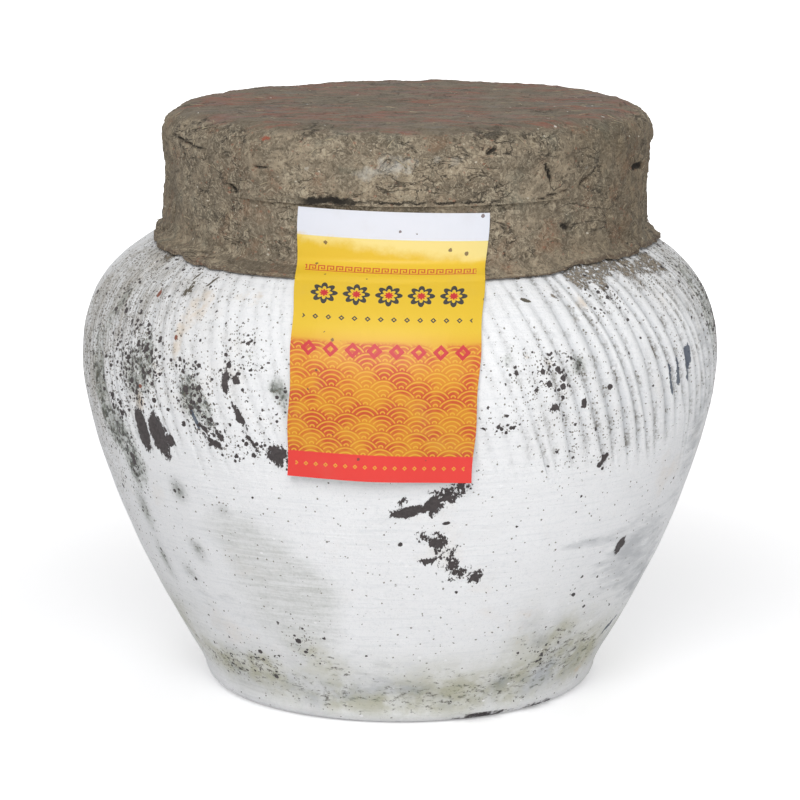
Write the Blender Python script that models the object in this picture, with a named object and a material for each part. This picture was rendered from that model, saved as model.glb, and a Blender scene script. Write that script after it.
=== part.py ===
"""Sealed rice wine jar.

A limewashed stoneware jar. Its mouth is closed by a lotus leaf, an upturned clay saucer,
a second leaf, two crossed bamboo sheaths and a bamboo tie, all under a cap of dried mud
that carries a paper slip. Metres, +Z up. The origin is at the centre of the base, and the
front of the jar, with the slip, looks towards -Y. Every lift is along the jar's own axis.
"""

import math

import bmesh
import bpy
import numpy as np

# Fineness of the meshes
SIDES = 48
COMBED_SIDES_PER_RIB = 2
LOWER_STEPS = 8
UPPER_STEPS = 10
INNER_STEPS = 5
SLIP_COLUMNS = 10
SLIP_ROWS = 20
SLIP_FINE_STEPS = 200
SLIP_SETTLES = 3
SMOOTH_ANGLE = math.radians(40)

# Fit between neighbours
GAP = 0.0003
MUD_GAP = 0.0006
PAPER_GAP = 0.0010

# Jar body
FOOT_RADIUS = 0.1165
FOOT_EDGE = 0.004
BELLY_RADIUS = 0.1985
BELLY_HEIGHT = 0.205
SHOULDER_RISE = 0.092
JAR_WALL = 0.009
JAR_FLOOR = 0.012
NECK_RADIUS = 0.0765
NECK_FILLET = 0.0035
NECK_RISE = 0.027
MOUTH_RADIUS = 0.0615
LIP_RADIUS = 0.079
LIP_HEIGHT = 0.010
LIP_ROUND = 0.004
LOWER_POWER = 1.55
UPPER_POWER = 2.5

# Ribs combed into the shoulder, between grooves that lean to one side
RIBS = 120
RIB_DEPTH = 0.0022
RIB_TOP = 0.285
RIB_FOOT = 0.165
RIB_FOOT_FADE = 0.020
RIB_LEAN_ANGLE = math.radians(12.5)
RIB_START_ANGLE = math.radians(1.7)
# How deep the comb cut, by degrees from the front, as shares of the full depth
RIB_AZIMUTHS = (-180, -120, -80, -62, -45, -25, 8, 20, 30, 50, 90, 130, 180)
RIB_STRENGTH_SHARES = (0.75, 0.85, 0.8, 0.7, 0.42, 0.28, 0.22, 0.34, 0.75, 1.0, 1.0, 0.85, 0.75)

# Leaves and sheaths over the mouth
LEAF_THICKNESS = 0.0008
SHEATH_THICKNESS = 0.0010
SKIRT_BEND = 0.009
LEAF_REACH = 0.098
LEAF_NOTCH = 0.005
SHEATH_WIDTH_REACH = 0.100
SHEATH_LENGTH_REACH = 0.112
RUFFLE = 0.0014
RUFFLES = 12
LEAF_LOBES = 7

# Clay saucer, laid with its foot upwards
SAUCER_RADIUS = 0.072
SAUCER_BASE_RADIUS = 0.028
SAUCER_HEIGHT = 0.016
SAUCER_WALL = 0.004
SAUCER_BULGE = 0.0015

# Bamboo tie round the neck
TIE_DIAMETER = 0.0022
TIE_PITCH = 0.0028
TIE_TURNS = 3
TIE_POINTS = 24
TIE_REST = 0.0008

# Mud cap
MUD_COVER = 0.0183
CAP_RADIUS = 0.1503
CAP_WAIST = 0.0012
CAP_EDGE = 0.020
CAP_SHIFT = 0.0034
CAP_LUMP = 0.0022
CAP_FOOT_RADIUS = 0.1575
CAP_FOOT_RAGGED = 0.0045
CAP_FOOT_THICKNESS = 0.0035
CAP_FLARE_RISE = 0.009
CAP_TOE_THIN_SHARE = 0.75
CAP_HOLLOW_SHARE = 0.35
CAP_TOP_RING = 0.085
# Waves in the mud's edge and walls: how many round, where they start in radians, how they
# turn from the foot to the top in radians, and their share of the whole unevenness
CAP_FOOT_WAVE_SHARES = ((3, 2.0, 0, 0.5), (5, 0, 0, 0.3), (11, 1.6, 0, 0.2))
CAP_LUMP_WAVE_SHARES = ((3, 0.8, 2, 0.3), (7, -1.3, 5, 0.3), (11, 0.6, -6, 0.2), (15, 2.1, 8, 0.2))
CAP_BED_STEPS = 6
LEDGE_DEPTH = 0.0030
LEDGE_ANGLE = math.radians(31)
LEDGE_FADE_ANGLE = math.radians(14)

# Paper slip on the front
SLIP_THICKNESS = 0.0006
SLIP_TOP_WIDTH = 0.1093
SLIP_BOTTOM_WIDTH = 0.1049
SLIP_PAPER_LENGTH = 0.166
SLIP_DROP = 0.0468
SLIP_CENTRE_X = -0.0034
# How far the slip's sides lean, and how far its upper and lower edges tilt
SLIP_LEAN_ANGLE = math.radians(2.9)
SLIP_TILT_ANGLE = math.radians(1.6)
SLIP_MARGIN = 0.0010

# Heights and distances that follow from the sizes above
SHOULDER_HEIGHT = BELLY_HEIGHT + SHOULDER_RISE
SHOULDER_RADIUS = NECK_RADIUS + NECK_FILLET
LIP_TOP = SHOULDER_HEIGHT + NECK_RISE
INNER_LEAF_OFFSET = GAP
SAUCER_RIM = LIP_TOP + INNER_LEAF_OFFSET + LEAF_THICKNESS + GAP
SAUCER_TOP = SAUCER_RIM + SAUCER_HEIGHT
OUTER_LEAF_OFFSET = INNER_LEAF_OFFSET + LEAF_THICKNESS + GAP
LOWER_SHEATH_OFFSET = OUTER_LEAF_OFFSET + LEAF_THICKNESS + GAP
UPPER_SHEATH_OFFSET = LOWER_SHEATH_OFFSET + SHEATH_THICKNESS + GAP
WRAP_OFFSET = UPPER_SHEATH_OFFSET + SHEATH_THICKNESS
BEND_CENTRE = LIP_RADIUS + SKIRT_BEND
BEND_TOP = SHOULDER_HEIGHT + SKIRT_BEND
TIE_RADIUS = (LIP_RADIUS + WRAP_OFFSET + GAP + TIE_DIAMETER / 2) / math.cos(math.pi / TIE_POINTS)
CAVITY_OFFSET = TIE_RADIUS + TIE_DIAMETER / 2 + MUD_GAP - LIP_RADIUS
CAVITY_TOP = SAUCER_TOP + WRAP_OFFSET - INNER_LEAF_OFFSET - LEAF_THICKNESS + MUD_GAP
CAP_TOP = CAVITY_TOP + MUD_COVER
SLIP_TOP = CAP_TOP - SLIP_DROP
SLIP_DROPS = np.linspace(0, SLIP_PAPER_LENGTH, SLIP_FINE_STEPS + 1)

FRONT = -math.pi / 2


def material(name, colour, roughness):
    """One plain finish: base colour and roughness, no metal."""
    finish = bpy.data.materials.new(name)
    finish.use_nodes = True
    shader = finish.node_tree.nodes["Principled BSDF"]
    shader.inputs["Base Color"].default_value = (*colour, 1)
    shader.inputs["Roughness"].default_value = roughness
    shader.inputs["Metallic"].default_value = 0
    return finish


def add_object(name, mesh, finish):
    """Put a closed bmesh in the scene as one shaded solid with its faces pointing out."""
    bmesh.ops.recalc_face_normals(mesh, faces=mesh.faces)
    data = bpy.data.meshes.new(name)
    mesh.to_mesh(data)
    mesh.free()
    data.materials.append(finish)
    data.shade_smooth()
    data.set_sharp_from_angle(angle=SMOOTH_ANGLE)
    solid = bpy.data.objects.new(name, data)
    bpy.context.scene.collection.objects.link(solid)
    return solid


def turned_solid(name, profile, finish):
    """A solid round the Z axis. profile(angle) lists its rows from one pole to the other."""
    mesh = bmesh.new()
    columns = [profile(2 * math.pi * side / SIDES) for side in range(SIDES)]
    rings = []
    for row, (radius, height) in enumerate(columns[0]):
        if radius == 0:
            rings.append([mesh.verts.new((0, 0, height))])
            continue
        angles = [2 * math.pi * side / SIDES for side in range(SIDES)]
        rings.append(ring_at(mesh, angles, [column[row] for column in columns]))
    for lower, upper in zip(rings, rings[1:]):
        join_rings(mesh, lower, upper)
    return add_object(name, mesh, finish)


def ring_at(mesh, angles, spots):
    """Points round the Z axis, each at its own angle, radius and height."""
    return [mesh.verts.new((radius * math.cos(angle), radius * math.sin(angle), height))
            for angle, (radius, height) in zip(angles, spots)]


def join_rings(mesh, lower, upper):
    """Skin between two rings. One may be a single point, or have a multiple of the points."""
    coarse, fine = (lower, upper) if len(lower) < len(upper) else (upper, lower)
    if len(coarse) == 1:
        for side, corner in enumerate(fine):
            mesh.faces.new((coarse[0], corner, fine[(side + 1) % len(fine)]))
    elif len(coarse) == len(fine):
        for side in range(len(fine)):
            after = (side + 1) % len(fine)
            mesh.faces.new((lower[side], lower[after], upper[after], upper[side]))
    else:
        join_fans(mesh, coarse, fine)


def join_fans(mesh, coarse, fine):
    """Skin between a coarse and a fine ring: the fine points nearest each corner fan from it."""
    away = [(point.co.xy - coarse[0].co.xy).length for point in fine]
    first = away.index(min(away))
    fine = fine[first:] + fine[:first + 1]
    share = (len(fine) - 1) // len(coarse)
    for side, corner in enumerate(coarse):
        after = coarse[(side + 1) % len(coarse)]
        edge = fine[side * share:(side + 1) * share + 1]
        middle = share // 2
        for step in range(share):
            mesh.faces.new((corner if step < middle else after, edge[step], edge[step + 1]))
        mesh.faces.new((corner, edge[middle], after))


def lower_radius(height):
    """Outer radius of the jar from its base to its belly."""
    return BELLY_RADIUS - (BELLY_RADIUS - FOOT_RADIUS) * (1 - height / BELLY_HEIGHT) ** LOWER_POWER


def shoulder_rows(end_radius, belly_radius, rise, steps):
    """Rows from the belly up over the shoulder, which ends level at end_radius."""
    rows = []
    for step in range(1, steps + 1):
        turn = math.pi / 2 * step / steps
        radius = end_radius + (belly_radius - end_radius) * math.cos(turn)
        rows.append((radius, BELLY_HEIGHT + rise * math.sin(turn) ** (2 / UPPER_POWER)))
    return rows


def shoulder_height(radius):
    """Height of the jar's outer surface above the belly at a radius."""
    share = min(1, max(0, (radius - SHOULDER_RADIUS) / (BELLY_RADIUS - SHOULDER_RADIUS)))
    return BELLY_HEIGHT + SHOULDER_RISE * (1 - share ** 2) ** (1 / UPPER_POWER)


def jar_radius(height):
    """Outer radius of the jar at a height, up to the end of the shoulder."""
    if height < BELLY_HEIGHT:
        return lower_radius(max(height, FOOT_EDGE))
    share = min(1, (height - BELLY_HEIGHT) / SHOULDER_RISE)
    return SHOULDER_RADIUS + (BELLY_RADIUS - SHOULDER_RADIUS) * math.sqrt(1 - share ** UPPER_POWER)


def arc(centre_radius, centre_height, width, rise, degrees):
    """Points on a quarter ellipse, at the given angles up from level."""
    turns = [math.radians(angle) for angle in degrees]
    return [(centre_radius + width * math.cos(t), centre_height + rise * math.sin(t)) for t in turns]


def jar_rows():
    """The jar's wall from under the base, up the outside, over the lip and down to the floor."""
    rows = [(0, 0), (FOOT_RADIUS - FOOT_EDGE, 0), (lower_radius(FOOT_EDGE), FOOT_EDGE)]
    for step in range(1, LOWER_STEPS + 1):
        height = FOOT_EDGE + (BELLY_HEIGHT - FOOT_EDGE) * step / LOWER_STEPS
        rows.append((lower_radius(height), height))
    rows += shoulder_rows(SHOULDER_RADIUS, BELLY_RADIUS, SHOULDER_RISE, UPPER_STEPS)
    fillet_top = SHOULDER_HEIGHT + NECK_FILLET
    rows += arc(SHOULDER_RADIUS, fillet_top, -NECK_FILLET, -NECK_FILLET, (45, 0))
    lip_foot = LIP_TOP - LIP_HEIGHT
    rows += [(NECK_RADIUS, lip_foot), (LIP_RADIUS, lip_foot + LIP_RADIUS - NECK_RADIUS)]
    rows += arc(LIP_RADIUS - LIP_ROUND, LIP_TOP - LIP_ROUND, LIP_ROUND, LIP_ROUND, (0, 45, 90))
    rows += [(MOUTH_RADIUS + LIP_ROUND, LIP_TOP), (MOUTH_RADIUS, LIP_TOP - LIP_ROUND)]
    inner_belly = BELLY_RADIUS - JAR_WALL
    inner = shoulder_rows(MOUTH_RADIUS, inner_belly, SHOULDER_RISE - JAR_WALL, INNER_STEPS)
    rows += reversed(inner)
    for step in range(INNER_STEPS, -1, -1):
        height = JAR_FLOOR + FOOT_EDGE + (BELLY_HEIGHT - JAR_FLOOR - FOOT_EDGE) * step / INNER_STEPS
        rows.append((lower_radius(height) - JAR_WALL, height))
    rows += [(lower_radius(JAR_FLOOR) - JAR_WALL - FOOT_EDGE, JAR_FLOOR), (0, JAR_FLOOR)]
    return rows


def comb_turn(height):
    """How far the comb has turned round the jar at a height, as it was drawn down."""
    drawn = (SHOULDER_HEIGHT - height) / (SHOULDER_HEIGHT - RIB_FOOT)
    return RIB_START_ANGLE + RIB_LEAN_ANGLE * drawn


def comb_depth(angle, height):
    """Depth of a groove: the comb cut unevenly round the jar and ran out towards its foot."""
    azimuth = math.degrees(math.remainder(angle - FRONT, 2 * math.pi))
    strength = float(np.interp(azimuth, RIB_AZIMUTHS, RIB_STRENGTH_SHARES))
    return RIB_DEPTH * strength * min(1, max(0, (height - RIB_FOOT) / RIB_FOOT_FADE))


def combed_ring(mesh, radius, height):
    """A row of the ribbed shoulder: by turns the bottom of a groove and the crest of a rib."""
    count = RIBS * COMBED_SIDES_PER_RIB
    angles = [comb_turn(height) + 2 * math.pi * side / count for side in range(count)]
    cuts = [comb_depth(angle, height) * (1 - side % COMBED_SIDES_PER_RIB)
            for side, angle in enumerate(angles)]
    return ring_at(mesh, angles, [(radius - cut, height) for cut in cuts])


def add_jar(finish):
    """The jar's wall, with its combed shoulder, from under the base round to its floor."""
    mesh = bmesh.new()
    plain_angles = [2 * math.pi * side / SIDES for side in range(SIDES)]
    rings = []
    for radius, height in jar_rows():
        outside = radius > SHOULDER_RADIUS and abs(radius - jar_radius(height)) < JAR_WALL / 2
        if radius == 0:
            rings.append([mesh.verts.new((0, 0, height))])
        elif outside and RIB_FOOT < height < RIB_TOP:
            rings.append(combed_ring(mesh, radius, height))
        else:
            rings.append(ring_at(mesh, plain_angles, [(radius, height)] * SIDES))
    for lower, upper in zip(rings, rings[1:]):
        join_rings(mesh, lower, upper)
    return add_object("jar_body", mesh, finish)


def saucer_crown(lift):
    """Rows over the saucer's upturned back, from the axis out to its rim, raised by lift."""
    middle = (SAUCER_BASE_RADIUS + SAUCER_RADIUS) / 2
    rim_height = SAUCER_RIM + SAUCER_WALL
    middle_height = (SAUCER_TOP + rim_height) / 2 + SAUCER_BULGE
    heights = (SAUCER_TOP, SAUCER_TOP, middle_height, rim_height)
    radii = (0, SAUCER_BASE_RADIUS, middle, SAUCER_RADIUS)
    return [(radius, height + lift) for radius, height in zip(radii, heights)]


def saucer_rows():
    """The saucer's back, its rim and its hollow side."""
    hollow = [(max(0, radius - SAUCER_WALL / 2), height) for radius, height in saucer_crown(-SAUCER_WALL)]
    rim = [(SAUCER_RADIUS, SAUCER_RIM), (SAUCER_RADIUS - SAUCER_WALL, SAUCER_RIM)]
    return saucer_crown(0) + rim + hollow[-2::-1]


def over_saucer(offset):
    """Rows of a surface that lies over the saucer and turns down past the lip."""
    lift = offset - INNER_LEAF_OFFSET - LEAF_THICKNESS
    crown = saucer_crown(lift)
    corner_height = LIP_TOP - LIP_ROUND
    width = LIP_RADIUS + offset - SAUCER_RADIUS
    rise = crown[-1][1] - corner_height
    return crown + arc(SAUCER_RADIUS, corner_height, width, rise, (60, 30, 0))


def over_lip(offset):
    """Rows of a surface that lies flat over the mouth and turns down past the lip."""
    corner_radius = LIP_RADIUS - LIP_ROUND
    corner_height = LIP_TOP - LIP_ROUND
    reach = LIP_ROUND + offset
    flat = [(0, LIP_TOP + offset), (MOUTH_RADIUS, LIP_TOP + offset)]
    return flat + arc(corner_radius, corner_height, reach, reach, (90, 45, 0))


def spread(offset, angle, hem_radius):
    """Rows out over the shoulder to the hem, ruffled more the further out they lie."""
    longest = SHEATH_LENGTH_REACH - BEND_CENTRE
    wave = RUFFLE * (1 + math.cos(RUFFLES * angle)) / 2
    rows = []
    for radius in [hem_radius] if hem_radius <= LEAF_REACH else [LEAF_REACH, hem_radius]:
        lift = wave * ((radius - BEND_CENTRE) / longest) ** 2
        rows.append((radius, shoulder_height(radius) + offset + lift))
    return rows


def skirt(offset, angle, hem_radius):
    """Rows down the neck, round the bend at its foot and out over the shoulder."""
    bend = SKIRT_BEND - offset
    neck = arc(BEND_CENTRE, BEND_TOP, -bend, -bend, (0, 45, 90))
    return neck + spread(offset, angle, hem_radius)


def wrap_profile(cover, offset, thickness, hem):
    """Profile of one thin layer: cover gives its rows over the mouth, hem(angle) its outline."""
    def profile(angle):
        upper = cover(offset + thickness) + skirt(offset + thickness, angle, hem(angle))
        lower = cover(offset) + skirt(offset, angle, hem(angle))
        return upper + lower[::-1]
    return profile


def leaf_hem(start):
    """A round leaf with a shallow lobed edge, turned by start."""
    def hem(angle):
        return LEAF_REACH - LEAF_NOTCH * (1 + math.cos(LEAF_LOBES * angle + start)) / 2
    return hem


def sheath_hem(direction):
    """A strip laid over the mouth: it reaches furthest down the shoulder along direction."""
    def hem(angle):
        along = math.cos(angle - direction) ** 2
        return SHEATH_WIDTH_REACH + (SHEATH_LENGTH_REACH - SHEATH_WIDTH_REACH) * along
    return hem


SHEATHS = (
    ("sheath_lower", LOWER_SHEATH_OFFSET, sheath_hem(0), (0.42, 0.32, 0.17)),
    ("sheath_upper", UPPER_SHEATH_OFFSET, sheath_hem(math.pi / 2), (0.46, 0.36, 0.19)),
)


def tie_points():
    """The tie's middle line: level turns round the neck that climb by one pitch a turn."""
    count = TIE_TURNS * TIE_POINTS
    start = BEND_TOP + TIE_REST + TIE_DIAMETER / 2
    turns = [2 * math.pi * step / TIE_POINTS for step in range(count + 1)]
    points = [
        np.array((TIE_RADIUS * math.cos(turn), TIE_RADIUS * math.sin(turn),
                  start + TIE_PITCH * turn / (2 * math.pi)))
        for turn in turns
    ]
    for end, near in ((0, 1), (-1, -2)):
        away = points[end] - points[near]
        tail = points[end] + away * TIE_DIAMETER / np.linalg.norm(away)
        points.insert(0 if end == 0 else len(points), tail)
    return points


def tie_least_gap(points):
    """Least clear distance between turns of the tie, measured on its points."""
    least = math.inf
    near = TIE_POINTS // 2
    for index, point in enumerate(points):
        for other in points[index + near:]:
            least = min(least, float(np.linalg.norm(point - other)))
    return least - TIE_DIAMETER


def add_tie(finish):
    """The bamboo strip as one unbroken tube with closed ends."""
    points = tie_points()
    curve = bpy.data.curves.new("bamboo_tie", "CURVE")
    curve.dimensions = "3D"
    curve.bevel_depth = TIE_DIAMETER / 2
    curve.bevel_resolution = 1
    curve.use_fill_caps = True
    spline = curve.splines.new("POLY")
    spline.points.add(len(points) - 1)
    for slot, point in zip(spline.points, points):
        slot.co = (*point, 1)
    curve.materials.append(finish)
    bpy.context.scene.collection.objects.link(bpy.data.objects.new("bamboo_tie", curve))
    print("bamboo_tie least gap to itself, m:", round(tie_least_gap(points), 6))


def slip_window(angle):
    """1 behind the paper slip at the front of the cap, 0 away from it, with a soft edge."""
    away = abs(math.remainder(angle - FRONT, 2 * math.pi))
    share = min(1, max(0, (away - LEDGE_ANGLE) / LEDGE_FADE_ANGLE))
    return (1 + math.cos(math.pi * share)) / 2


def waves(table, angle, share):
    """Sum of a table of waves at an angle and at a share of the cap's height, within -1 to 1."""
    return sum(part * math.sin(count * angle + start + turn * share) for count, start, turn, part in table)


def cap_foot_radius(angle):
    """Where the ragged foot of the mud ends on the shoulder. It lies furthest out in front."""
    wander = waves(CAP_FOOT_WAVE_SHARES, angle, 0)
    steady = slip_window(angle)
    return CAP_FOOT_RADIUS + CAP_FOOT_RAGGED * (wander * (1 - steady) + steady)


def cap_radius(angle, height, radius):
    """Radius of the cap's outside near a nominal radius, with its lean and its lumps."""
    share = (height - SHOULDER_HEIGHT) / (CAP_TOP - SHOULDER_HEIGHT)
    lump = CAP_LUMP * waves(CAP_LUMP_WAVE_SHARES, angle, share) * (1 - slip_window(angle))
    lean = CAP_SHIFT * math.cos(angle)
    return radius + lean + lump


def cap_outside(angle):
    """Rows up the outside of the cap, from its foot to the middle of its flat top."""
    foot = cap_foot_radius(angle)
    foot_height = shoulder_height(foot) + MUD_GAP
    toe_height = foot_height + CAP_FOOT_THICKNESS * (1 - CAP_TOE_THIN_SHARE * slip_window(angle))
    flare_height = foot_height + CAP_FLARE_RISE
    ledge = LEDGE_DEPTH * slip_window(angle)
    ledge_low = SLIP_TOP + GAP
    edge_height = CAP_TOP - CAP_EDGE
    waist_height = min((flare_height + edge_height) / 2, ledge_low - GAP)
    rows = [(foot, foot_height), (foot, toe_height)]
    middle = CAP_RADIUS + (foot - CAP_RADIUS) * CAP_HOLLOW_SHARE
    rows.append((cap_radius(angle, toe_height, middle), (toe_height + flare_height) / 2))
    rows.append((cap_radius(angle, flare_height, CAP_RADIUS), flare_height))
    rows.append((cap_radius(angle, waist_height, CAP_RADIUS - CAP_WAIST), waist_height))
    rows.append((cap_radius(angle, ledge_low, CAP_RADIUS - CAP_WAIST), ledge_low))
    rows.append((cap_radius(angle, ledge_low, CAP_RADIUS - CAP_WAIST) + ledge, ledge_low + GAP))
    rounding = arc(CAP_RADIUS - CAP_EDGE, edge_height, CAP_EDGE, CAP_EDGE, (0, 30, 60, 90))
    for radius, height in rounding:
        fade = (CAP_TOP - height) / CAP_EDGE
        rows.append((cap_radius(angle, height, radius) + ledge * fade, height))
    return rows + [(CAP_TOP_RING, CAP_TOP), (0, CAP_TOP)]


def cap_inside(angle):
    """Rows under the cap: round the wraps and the tie, then over the shoulder to the foot."""
    rows = over_saucer(WRAP_OFFSET + MUD_GAP)[:4]
    side = LIP_RADIUS + CAVITY_OFFSET
    corner_height = LIP_TOP - LIP_ROUND
    rise = rows[-1][1] - corner_height
    rows += arc(SAUCER_RADIUS, corner_height, side - SAUCER_RADIUS, rise, (60, 30, 0))
    rows.append((side, SHOULDER_HEIGHT + WRAP_OFFSET + MUD_GAP))
    hem = max(outline(angle) for _, _, outline, _ in SHEATHS) + MUD_GAP
    rows += spread(WRAP_OFFSET + MUD_GAP, angle, hem)
    foot = cap_foot_radius(angle)
    for step in range(CAP_BED_STEPS):
        radius = hem + (foot - hem) * step / CAP_BED_STEPS
        rows.append((radius, shoulder_height(radius) + MUD_GAP))
    return rows


def cap_profile(angle):
    """The cap's section: its outside from the axis to the foot, then back along its bed."""
    return cap_outside(angle)[::-1] + cap_inside(angle)[::-1]


def slip_backing(angle):
    """Radii behind the slip at SLIP_DROPS below its top, never stepping back inwards."""
    radii, heights = np.array(cap_outside(angle)[:-2]).T
    cap = np.interp(SLIP_TOP - SLIP_DROPS, heights, radii, left=0)
    jar = [jar_radius(SLIP_TOP - drop) for drop in SLIP_DROPS]
    return np.maximum.accumulate(np.maximum(cap, jar))


def slip_line():
    """Along the front: distance down the slip, and its outward direction, at SLIP_DROPS."""
    radii = slip_backing(FRONT)
    out, drop = np.gradient(radii), np.gradient(SLIP_DROPS)
    length = np.hypot(out, drop)
    down = np.cumsum(length) - length[0]
    return down, drop / length, out / length


def slip_point(aside, down, offset, line):
    """A point of the slip: aside and down on the flat paper, offset off what backs it."""
    x = SLIP_CENTRE_X + aside - down * math.sin(SLIP_LEAN_ANGLE)
    down += (SLIP_TOP_WIDTH / 2 + aside) * math.sin(SLIP_TILT_ANGLE)
    drop, out, rise = (np.interp(down, line[0], values) for values in (SLIP_DROPS, *line[1:]))
    angle = FRONT
    for _ in range(SLIP_SETTLES):
        radius = np.interp(drop, SLIP_DROPS, slip_backing(angle))
        angle = FRONT + math.asin(x / radius)
    radius += offset * out
    return radius * math.cos(angle), radius * math.sin(angle), SLIP_TOP - drop + offset * rise


def add_slip(finish):
    """The paper slip: one bent sheet over the cap and the shoulder, hanging off the belly."""
    line = slip_line()
    mesh = bmesh.new()
    sheets = []
    for offset in (PAPER_GAP, PAPER_GAP + SLIP_THICKNESS):
        sheet = []
        for row in range(SLIP_ROWS + 1):
            share = row / SLIP_ROWS
            width = SLIP_TOP_WIDTH + (SLIP_BOTTOM_WIDTH - SLIP_TOP_WIDTH) * share
            down = SLIP_MARGIN + SLIP_PAPER_LENGTH * share
            asides = [width * (column / SLIP_COLUMNS - 1 / 2) for column in range(SLIP_COLUMNS + 1)]
            sheet.append([mesh.verts.new(slip_point(aside, down, offset, line)) for aside in asides])
        sheets.append(sheet)
    join_sheets(mesh, *sheets)
    return add_object("paper_label", mesh, finish)


def join_sheets(mesh, inner, outer):
    """Skin two grids of points back to back and close them round their four edges."""
    rows, columns = len(inner), len(inner[0])
    for row in range(rows - 1):
        for column in range(columns - 1):
            for sheet in (inner, outer):
                mesh.faces.new((sheet[row][column], sheet[row][column + 1],
                                sheet[row + 1][column + 1], sheet[row + 1][column]))
    border = [(0, column) for column in range(columns)]
    border += [(row, columns - 1) for row in range(1, rows)]
    border += [(rows - 1, column) for column in range(columns - 2, -1, -1)]
    border += [(row, 0) for row in range(rows - 2, 0, -1)]
    for (row, column), (next_row, next_column) in zip(border, border[1:] + border[:1]):
        mesh.faces.new((inner[row][column], inner[next_row][next_column],
                        outer[next_row][next_column], outer[row][column]))


def main():
    """Clear the scene and model the jar, its closure and its seal."""
    for old in list(bpy.data.objects):
        bpy.data.objects.remove(old, do_unlink=True)

    stoneware = material("limewashed_stoneware", (0.70, 0.71, 0.72), 0.85)
    add_jar(stoneware)

    leaf = material("lotus_leaf_inner", (0.20, 0.17, 0.08), 0.70)
    profile = wrap_profile(over_lip, INNER_LEAF_OFFSET, LEAF_THICKNESS, leaf_hem(0))
    turned_solid("inner_leaf", profile, leaf)

    clay = material("saucer_clay", (0.33, 0.20, 0.13), 0.80)
    turned_solid("saucer_lid", lambda angle: saucer_rows(), clay)

    leaf = material("lotus_leaf_outer", (0.23, 0.20, 0.10), 0.70)
    hem = leaf_hem(math.pi / 2)
    profile = wrap_profile(over_saucer, OUTER_LEAF_OFFSET, LEAF_THICKNESS, hem)
    turned_solid("outer_leaf", profile, leaf)

    for name, offset, hem, colour in SHEATHS:
        profile = wrap_profile(over_saucer, offset, SHEATH_THICKNESS, hem)
        turned_solid(name, profile, material(name + "_husk", colour, 0.60))

    add_tie(material("bamboo_strip", (0.45, 0.36, 0.17), 0.50))
    turned_solid("mud_seal", cap_profile, material("dried_mud", (0.22, 0.17, 0.11), 0.95))
    add_slip(material("printed_paper", (0.75, 0.48, 0.10), 0.60))


main()
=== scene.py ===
"""Looks of a sealed rice wine jar: limewashed stoneware under a cap of dried mud and straw.

Every length is in metres, apart from the tables of marks, which are in millimetres. The jar
stands on z = 0 round the Z axis, and its front, with the paper slip, looks towards -Y. An azimuth
is measured from the front towards +X.
"""

import math
import random

import bpy
import numpy as np
from bpy.props import FloatProperty, FloatVectorProperty, IntProperty, PointerProperty
from mathutils import Matrix, Vector


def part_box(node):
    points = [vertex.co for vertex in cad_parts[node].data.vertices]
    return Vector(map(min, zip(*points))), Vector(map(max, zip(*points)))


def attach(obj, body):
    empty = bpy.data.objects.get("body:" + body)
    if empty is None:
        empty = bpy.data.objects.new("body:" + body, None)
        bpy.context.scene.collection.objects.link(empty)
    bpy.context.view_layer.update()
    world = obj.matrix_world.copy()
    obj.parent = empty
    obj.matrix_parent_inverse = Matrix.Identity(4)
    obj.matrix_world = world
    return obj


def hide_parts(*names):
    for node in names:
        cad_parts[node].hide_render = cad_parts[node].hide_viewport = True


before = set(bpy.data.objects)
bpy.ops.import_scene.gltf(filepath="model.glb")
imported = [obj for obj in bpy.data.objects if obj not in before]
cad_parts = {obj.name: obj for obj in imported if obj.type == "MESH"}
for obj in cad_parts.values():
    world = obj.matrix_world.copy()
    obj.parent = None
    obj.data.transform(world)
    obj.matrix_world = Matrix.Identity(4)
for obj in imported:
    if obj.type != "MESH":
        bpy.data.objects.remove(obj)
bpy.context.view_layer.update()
JAR_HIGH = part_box("jar_body")[1]
SAUCER_LOW, SAUCER_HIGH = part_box("saucer_lid")
TIE_LOW, TIE_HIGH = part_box("bamboo_tie")
MUD_LOW, MUD_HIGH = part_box("mud_seal")

bl_info = {
    "name": "Sealed rice wine jar",
    "version": (1, 0, 0),
    "blender": (4, 5, 0),
    "location": "View3D > Sidebar > Wine jar",
    "description": "Models and finishes a limewashed wine jar under its mud seal",
    "category": "Add Mesh",
}

FRONT = -math.pi / 2
TURN = 2 * math.pi
MM = 0.001
MERGE = 0.00001
GAP = 0.0003
SMOOTH_ANGLE = math.radians(40)
SEED = 24

# Steps round each turned piece, and the longest step along its section
WRAP_STEPS, WRAP_SPACING = 288, 0.003
SAUCER_STEPS, SAUCER_SPACING = 144, 0.002
MUD_STEPS, MUD_SPACING, MUD_BED_SPACING = 600, 0.0017, 0.007
# Steps of the first two stretches of the cap's section, on its flat top
MUD_TOP_STEPS = (18, 22)
# The tie: its turns round the neck, the steps in one turn and the thickness of the strip
TIE_TURNS, TIE_STEPS, TIE_THICKNESS = 3, 96, 0.0012
# How far the pleats of the wraps draw in under the lip and rise over the saucer's edge
PLEAT_DEPTH, PLEAT_RISE = 0.0016, 0.0007
# Chance dents in the wall of the cap
DENTS = 60
# Columns and rows of the slip's mesh, and how far its loose end may sag towards the jar
SLIP_COLUMNS, SLIP_ROWS, SLIP_SAG = 48, 80, 0.0022
# Height at which the lamps look
LAMP_AIM = 0.2

# Curves of the jar's outline
LOWER_POWER = 1.55
UPPER_POWER = 2.5

# One rib of the comb: where its mesh lines lie across it, and how deep the comb cut there
RIB_LINE_SHARES = (0.0, 0.13, 0.30, 0.50, 0.70, 0.87)
RIB_CUT_SHARES = (1.0, 0.56, 0.16, 0.0, 0.16, 0.56)
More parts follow.
